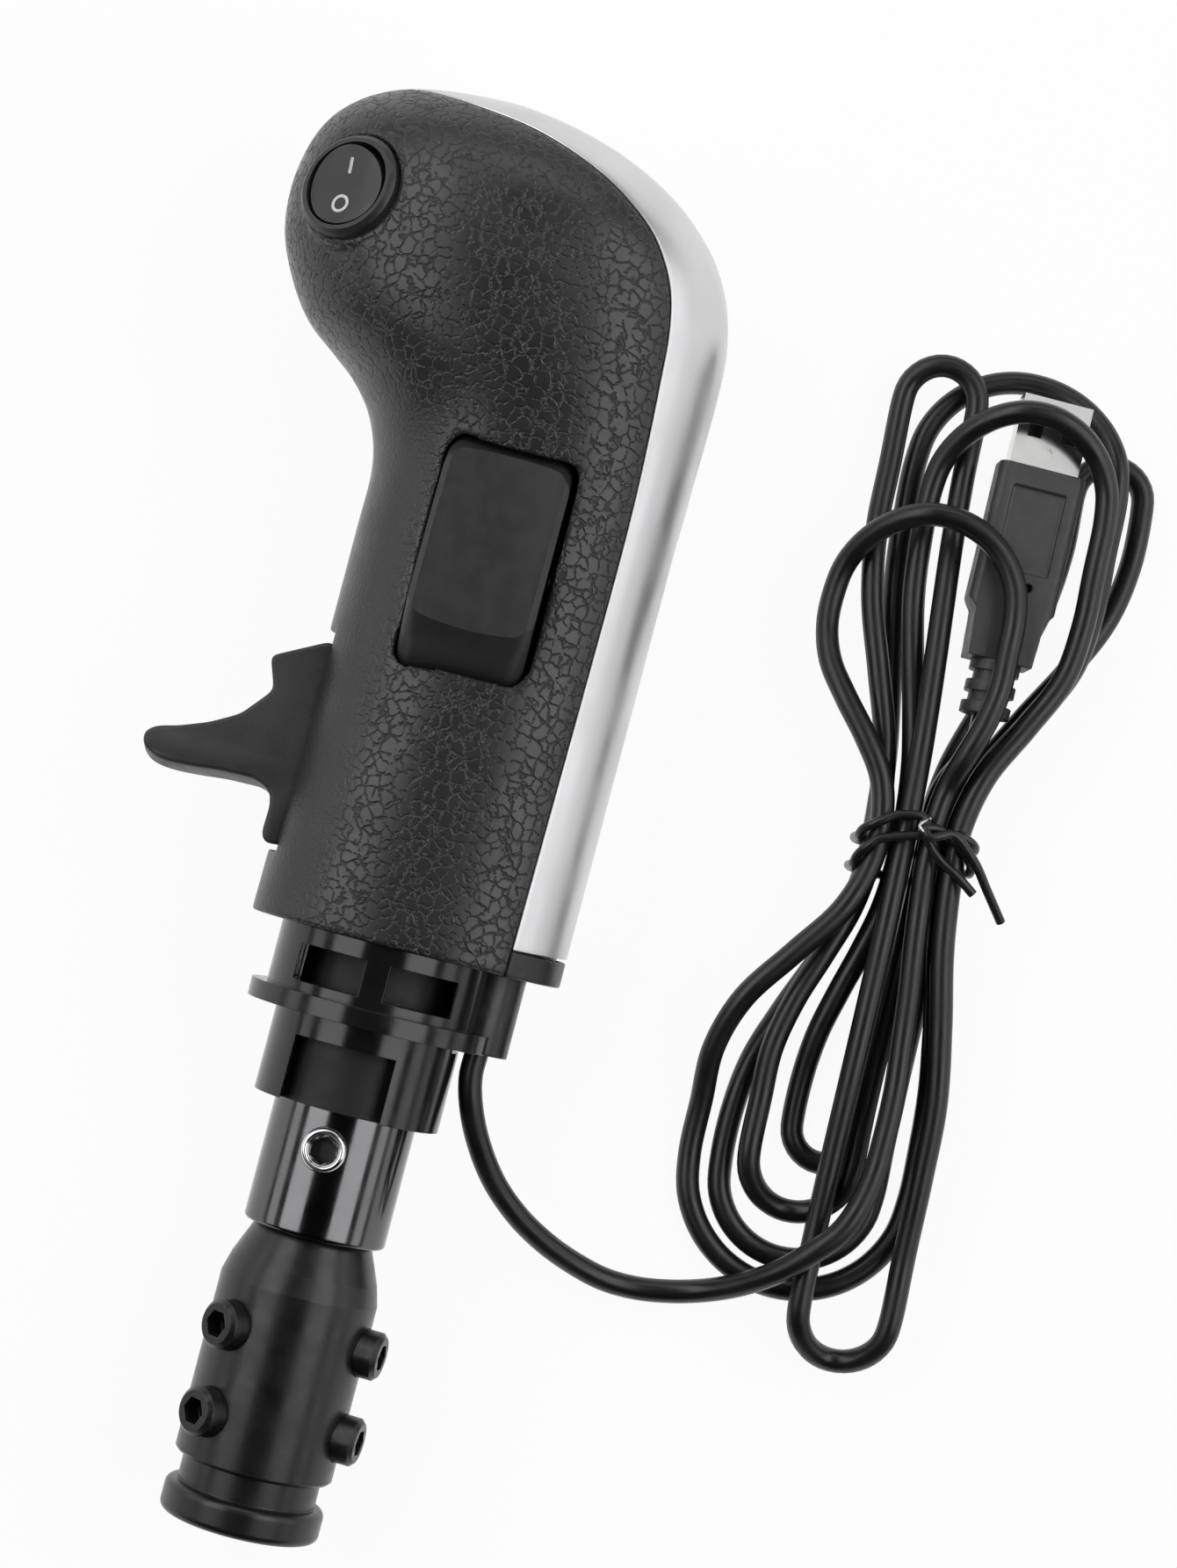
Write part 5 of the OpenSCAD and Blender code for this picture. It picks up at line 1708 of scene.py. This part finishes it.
@dataclass
class Controls:
    """Splitter rocker, range lever and power switch, with the marks on the switch."""

    grip: Grip
    button_pivot: float = -1.2
    rest_tilt: float = 5.5
    trough_r: float = 26.0
    trough_floor: float = 3.1
    stroke_at: float = 3.3
    stroke: Span = (0.55, 2.6)
    stroke_core: Span = (0.04, 2.4)
    stroke_power: float = 0.25
    ring_at: float = -3.1
    ring: Span = (1.55, 0.5)
    mark_points: int = 48
    print_t: float = 0.06
    soft: float = 0.3
    lever_edge: float = 0.6
    outline_step: float = 0.5
    outline_passes: int = 5
    finger_from: Span = (-13.5, -4.0)
    finger_facing: float = 0.3
    finger_draft: float = 1.1
    draft_depth: float = 5.0
    draft_blur: int = 9
    tip_x: Span = (-26.0, -34.0)
    tip_narrow: float = 1.2
    pin_d: float = 3.1
    lever_outline: tuple[Span, ...] = (
        (-9, 19.5), (-17.9, 14.8), (-16, 9.5), (-20.2, 4.4), (-24.8, 1.8), (-29.5, 0), (-32.8, -0.8),
        (-34.4, -1.7), (-35.1, -3.4), (-34.7, -5.1), (-33.1, -6.5), (-30.8, -7.1), (-28.2, -7.1),
        (-24.4, -6.8), (-20.7, -6.4), (-14.6, -6.3), (-12.4, -7), (-11.8, -8.6), (-12, -13.8), (-11, -15.1),
        (-8.4, -14.6), (-3, -3.2), (1.5, -3.6), (3.4, 0), (1.5, 3.6), (-3.6, 5), (-6.2, 18),
    )

    def button_frame(self) -> Matrix:
        """Matrix from the button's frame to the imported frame."""
        pivot = Matrix.Translation((0, 0, self.button_pivot))
        return LAID.matrix @ self.grip.switch_frame() @ pivot @ turned(self.rest_tilt, "X")

    def face_height(self, y: float) -> float:
        """Height of the button's hollow face."""
        return self.trough_floor + self.trough_r - math.sqrt(self.trough_r ** 2 - y ** 2)

    def print_band(self, name: str, inner: Sequence[Point], outer: Sequence[Point]) -> Piece:
        """Makes a thin printed band on the button's face between two outlines of x and y.

        Args:
            name: Name of the piece.
            inner: Its inner outline.
            outer: Its outer outline.

        Returns:
            The band.
        """
        corners = ((inner, 0.0), (inner, self.print_t), (outer, self.print_t), (outer, 0.0))
        loops = [[(x, y, self.face_height(y) + lift) for x, y in line] for line, lift in corners]
        made = lofted(name, np.array(loops), hollow=True)
        point_outwards(made)
        place(made, self.button_frame())
        dress(made, PRINT)
        return stand_for(made, Body.POWER, "control")

    def build_marks(self) -> None:
        """Prints the stroke and the ring on the switch's button."""
        r, wide = self.ring
        sizes = (r - wide, r)
        rings = [[(x, self.ring_at + y) for x, y in circle(size, self.mark_points)] for size in sizes]
        self.print_band("off_ring", *rings)
        c, s = squarish(turns(self.mark_points), self.stroke_power)
        bars = [
            np.stack([c * width / 2, s * length / 2 + self.stroke_at], axis=1)
            for width, length in (self.stroke_core, self.stroke)
        ]
        self.print_band("on_stroke", *bars)

    def lever_line(self) -> np.ndarray:
        """Closed side outline of the lever with softened corners, about its pivot.

        Returns:
            Points of x and z.
        """
        corners = np.array([*self.lever_outline, self.lever_outline[0]], float)
        count = round(distances(corners)[-1] / self.outline_step)
        line = spaced(corners, count + 1)[:-1]
        for _ in range(self.outline_passes):
            line = 0.5 * line + 0.25 * (np.roll(line, 1, axis=0) + np.roll(line, -1, axis=0))
        return line

    def build_lever(self) -> None:
        """Makes the lever, with rounded edges and a drafted face under its finger."""
        line = self.lever_line()
        along = np.roll(line, -1, axis=0) - np.roll(line, 1, axis=0)
        inwards = np.stack([-along[:, 1], along[:, 0]], axis=1) / np.linalg.norm(along, axis=1)[:, None]
        x, z = line.T
        under = (x < self.finger_from[0]) & (z < self.finger_from[1]) & (inwards[:, 1] > self.finger_facing)
        blur = np.ones(self.draft_blur) / self.draft_blur
        blurred = np.convolve(np.tile(under.astype(float), 3), blur, "same")[len(x):2 * len(x)]
        draft = self.finger_draft * blurred
        reach = ((x - self.tip_x[0]) / (self.tip_x[1] - self.tip_x[0])).clip(0, 1)
        half = self.grip.lever_w / 2 - self.tip_narrow * reach ** 2
        bends = np.linspace(math.pi / 2, 0.0, 5)
        edges = [(self.lever_edge * (1 - math.cos(b)), self.lever_edge * (1 - math.sin(b))) for b in bends]
        rings = []
        for pull, depth in [*edges, (0.0, self.draft_depth)]:
            inset = (pull + draft * (1 - depth / self.draft_depth))[:, None] * inwards
            rings.append(np.stack([x + inset[:, 0], depth - half, z + inset[:, 1]], axis=1))
        for pull, depth in edges[::-1]:
            inset = pull * inwards
            rings.append(np.stack([x + inset[:, 0], half - depth, z + inset[:, 1]], axis=1))
        lever = lofted("thumb_lever", np.array(rings))
        point_outwards(lever)
        carve(lever, prism("bore", circle(self.pin_d / 2, 40), self.grip.lever_w), Carve.CUT)
        pivot = (self.grip.lever_pivot[0], 0.0, self.grip.lever_pivot[1])
        place(lever, LAID.matrix @ Matrix.Translation(pivot))
        shade_smooth(lever, angle=45.0)
        dress(lever, LEVER_SATIN)
        stand_for(lever, Body.LEVER, "control", "range_lever")

    def build(self) -> None:
        """Builds and dresses the controls and prints the switch's marks."""
        dress_node("splitter_rocker", SATIN, self.soft)
        self.build_lever()
        dress_node("power_switch_body", SWITCH, self.soft)
        dress_node("power_rocker", SWITCH, self.soft)
        self.build_marks()


@dataclass
class Base:
    """Core frame, cable gland, clamp sleeve, shaft adapter and their screws."""

    dressing: tuple[tuple[str, Finish], ...] = (
        ("core_frame", CORE), ("cable_gland", GLAND), ("shaft_adapter", ANODISED),
        ("adapter_screws", BLACK_OXIDE),
    )
    sleeve_r: Span = (9.55, 11.85)
    sleeve_z: Span = (49.0, 99.8)
    sleeve_edge: float = 0.7
    sleeve_sides: int = 192
    sleeve_rings: int = 90
    screw_hole: float = 3.8
    hole_span: Span = (6.0, 20.0)
    screw_hex: float = 4.0
    hex_floor: float = 9.85
    screw_profile: tuple[Span, ...] = (
        (3.05, 9.75), (3.75, 10.45), (3.75, 12.2), (3.68, 12.5), (3.5, 12.8), (3.25, 13.0), (3.0, 13.05),
        (2.8, 12.98), (2.62, 12.8), (2.5, 12.5),
    )

    @property
    def at_screw(self) -> Matrix:
        """Matrix from the clamp screw's frame, +Z outwards, to the upright frame."""
        turn = Matrix.Rotation(SCREW_TURN, 4, "Z") @ turned(90.0, "X")
        return Matrix.Translation((0.0, 0.0, SCREW_Z)) @ turn

    def build_sleeve(self) -> None:
        """Makes the clamp sleeve as a fine ring, with a rounded lower edge and a hole for its screw."""
        (inner, outer), (low, high), edge = self.sleeve_r, self.sleeve_z, self.sleeve_edge
        profile = [(inner, low), *rounded_foot(outer, low, edge, steps=7)]
        levels = np.linspace(low + edge, high, self.sleeve_rings)[1:]
        profile += [(outer, z) for z in levels] + [(inner, high)]
        sleeve = revolved("gunmetal_sleeve", profile, self.sleeve_sides, hollow=True)
        point_outwards(sleeve)
        hole = revolved("hole", [(self.screw_hole, z) for z in self.hole_span], sides=64)
        carve(sleeve, place(hole, self.at_screw), Carve.CUT)
        place(sleeve, LAID.matrix)
        shade_smooth(sleeve)
        stand_for(dress(sleeve, SLEEVE), Body.KNOB, "sleeve", "clamp_sleeve")

    def build_screw(self) -> None:
        """Makes the sleeve's clamp screw, with a rounded rim round its hexagon socket."""
        screw = revolved("clamp_screw", self.screw_profile, sides=72)
        sixth = math.pi / 6
        ring = circle(self.screw_hex / 2 / math.cos(sixth), 6, start=sixth)
        carve(screw, pillar("socket", ring, self.hex_floor, self.hole_span[1]), Carve.CUT)
        place(screw, LAID.matrix @ self.at_screw)
        shade_smooth(screw, angle=40.0)
        stand_for(dress(screw, CHROME), Body.KNOB, "bright_screw", "sleeve_screw")

    def build(self) -> None:
        """Makes the clamp sleeve and its screw, and dresses each other piece of the base."""
        self.build_sleeve()
        self.build_screw()
        for row in self.dressing:
            dress_node(*row)


@dataclass
class Inside:
    """Brackets, pins, switches, board and wiring inside the grip."""

    dressing: tuple[tuple[str, Finish, float], ...] = (
        ("power_switch_terminals", BRASS, 0.1), ("splitter_housing", BRACKET, 0.25),
        ("splitter_pin", STEEL, 0.0), ("splitter_switch", SWITCH_BLOCK, 0.2),
        ("range_bracket", BRACKET, 0.25), ("range_pin", STEEL, 0.0), ("range_switch", SWITCH_BLOCK, 0.2),
        ("circuit_board", BOARD, 0.0), ("controller_chip", CHIP, 0.1), ("lead_header", HEADER, 0.15),
        ("board_screws", STEEL, 0.1), ("shell_screws", STEEL, 0.1), ("inner_lead", JACKET, 0.0),
    )

    def build(self) -> None:
        """Dresses each inner piece."""
        for row in self.dressing:
            dress_node(*row)


def main() -> None:
    """Builds the studio and the knob."""
    logging.basicConfig(level=logging.INFO, format="%(name)s: %(message)s")
    Studio().build()
    Lead().build()
    grip = Grip()
    grip.build()
    Controls(grip).build()
    Base().build()
    Inside().build()
    bpy.context.view_layer.update()


if __name__ == "__main__":
    main()
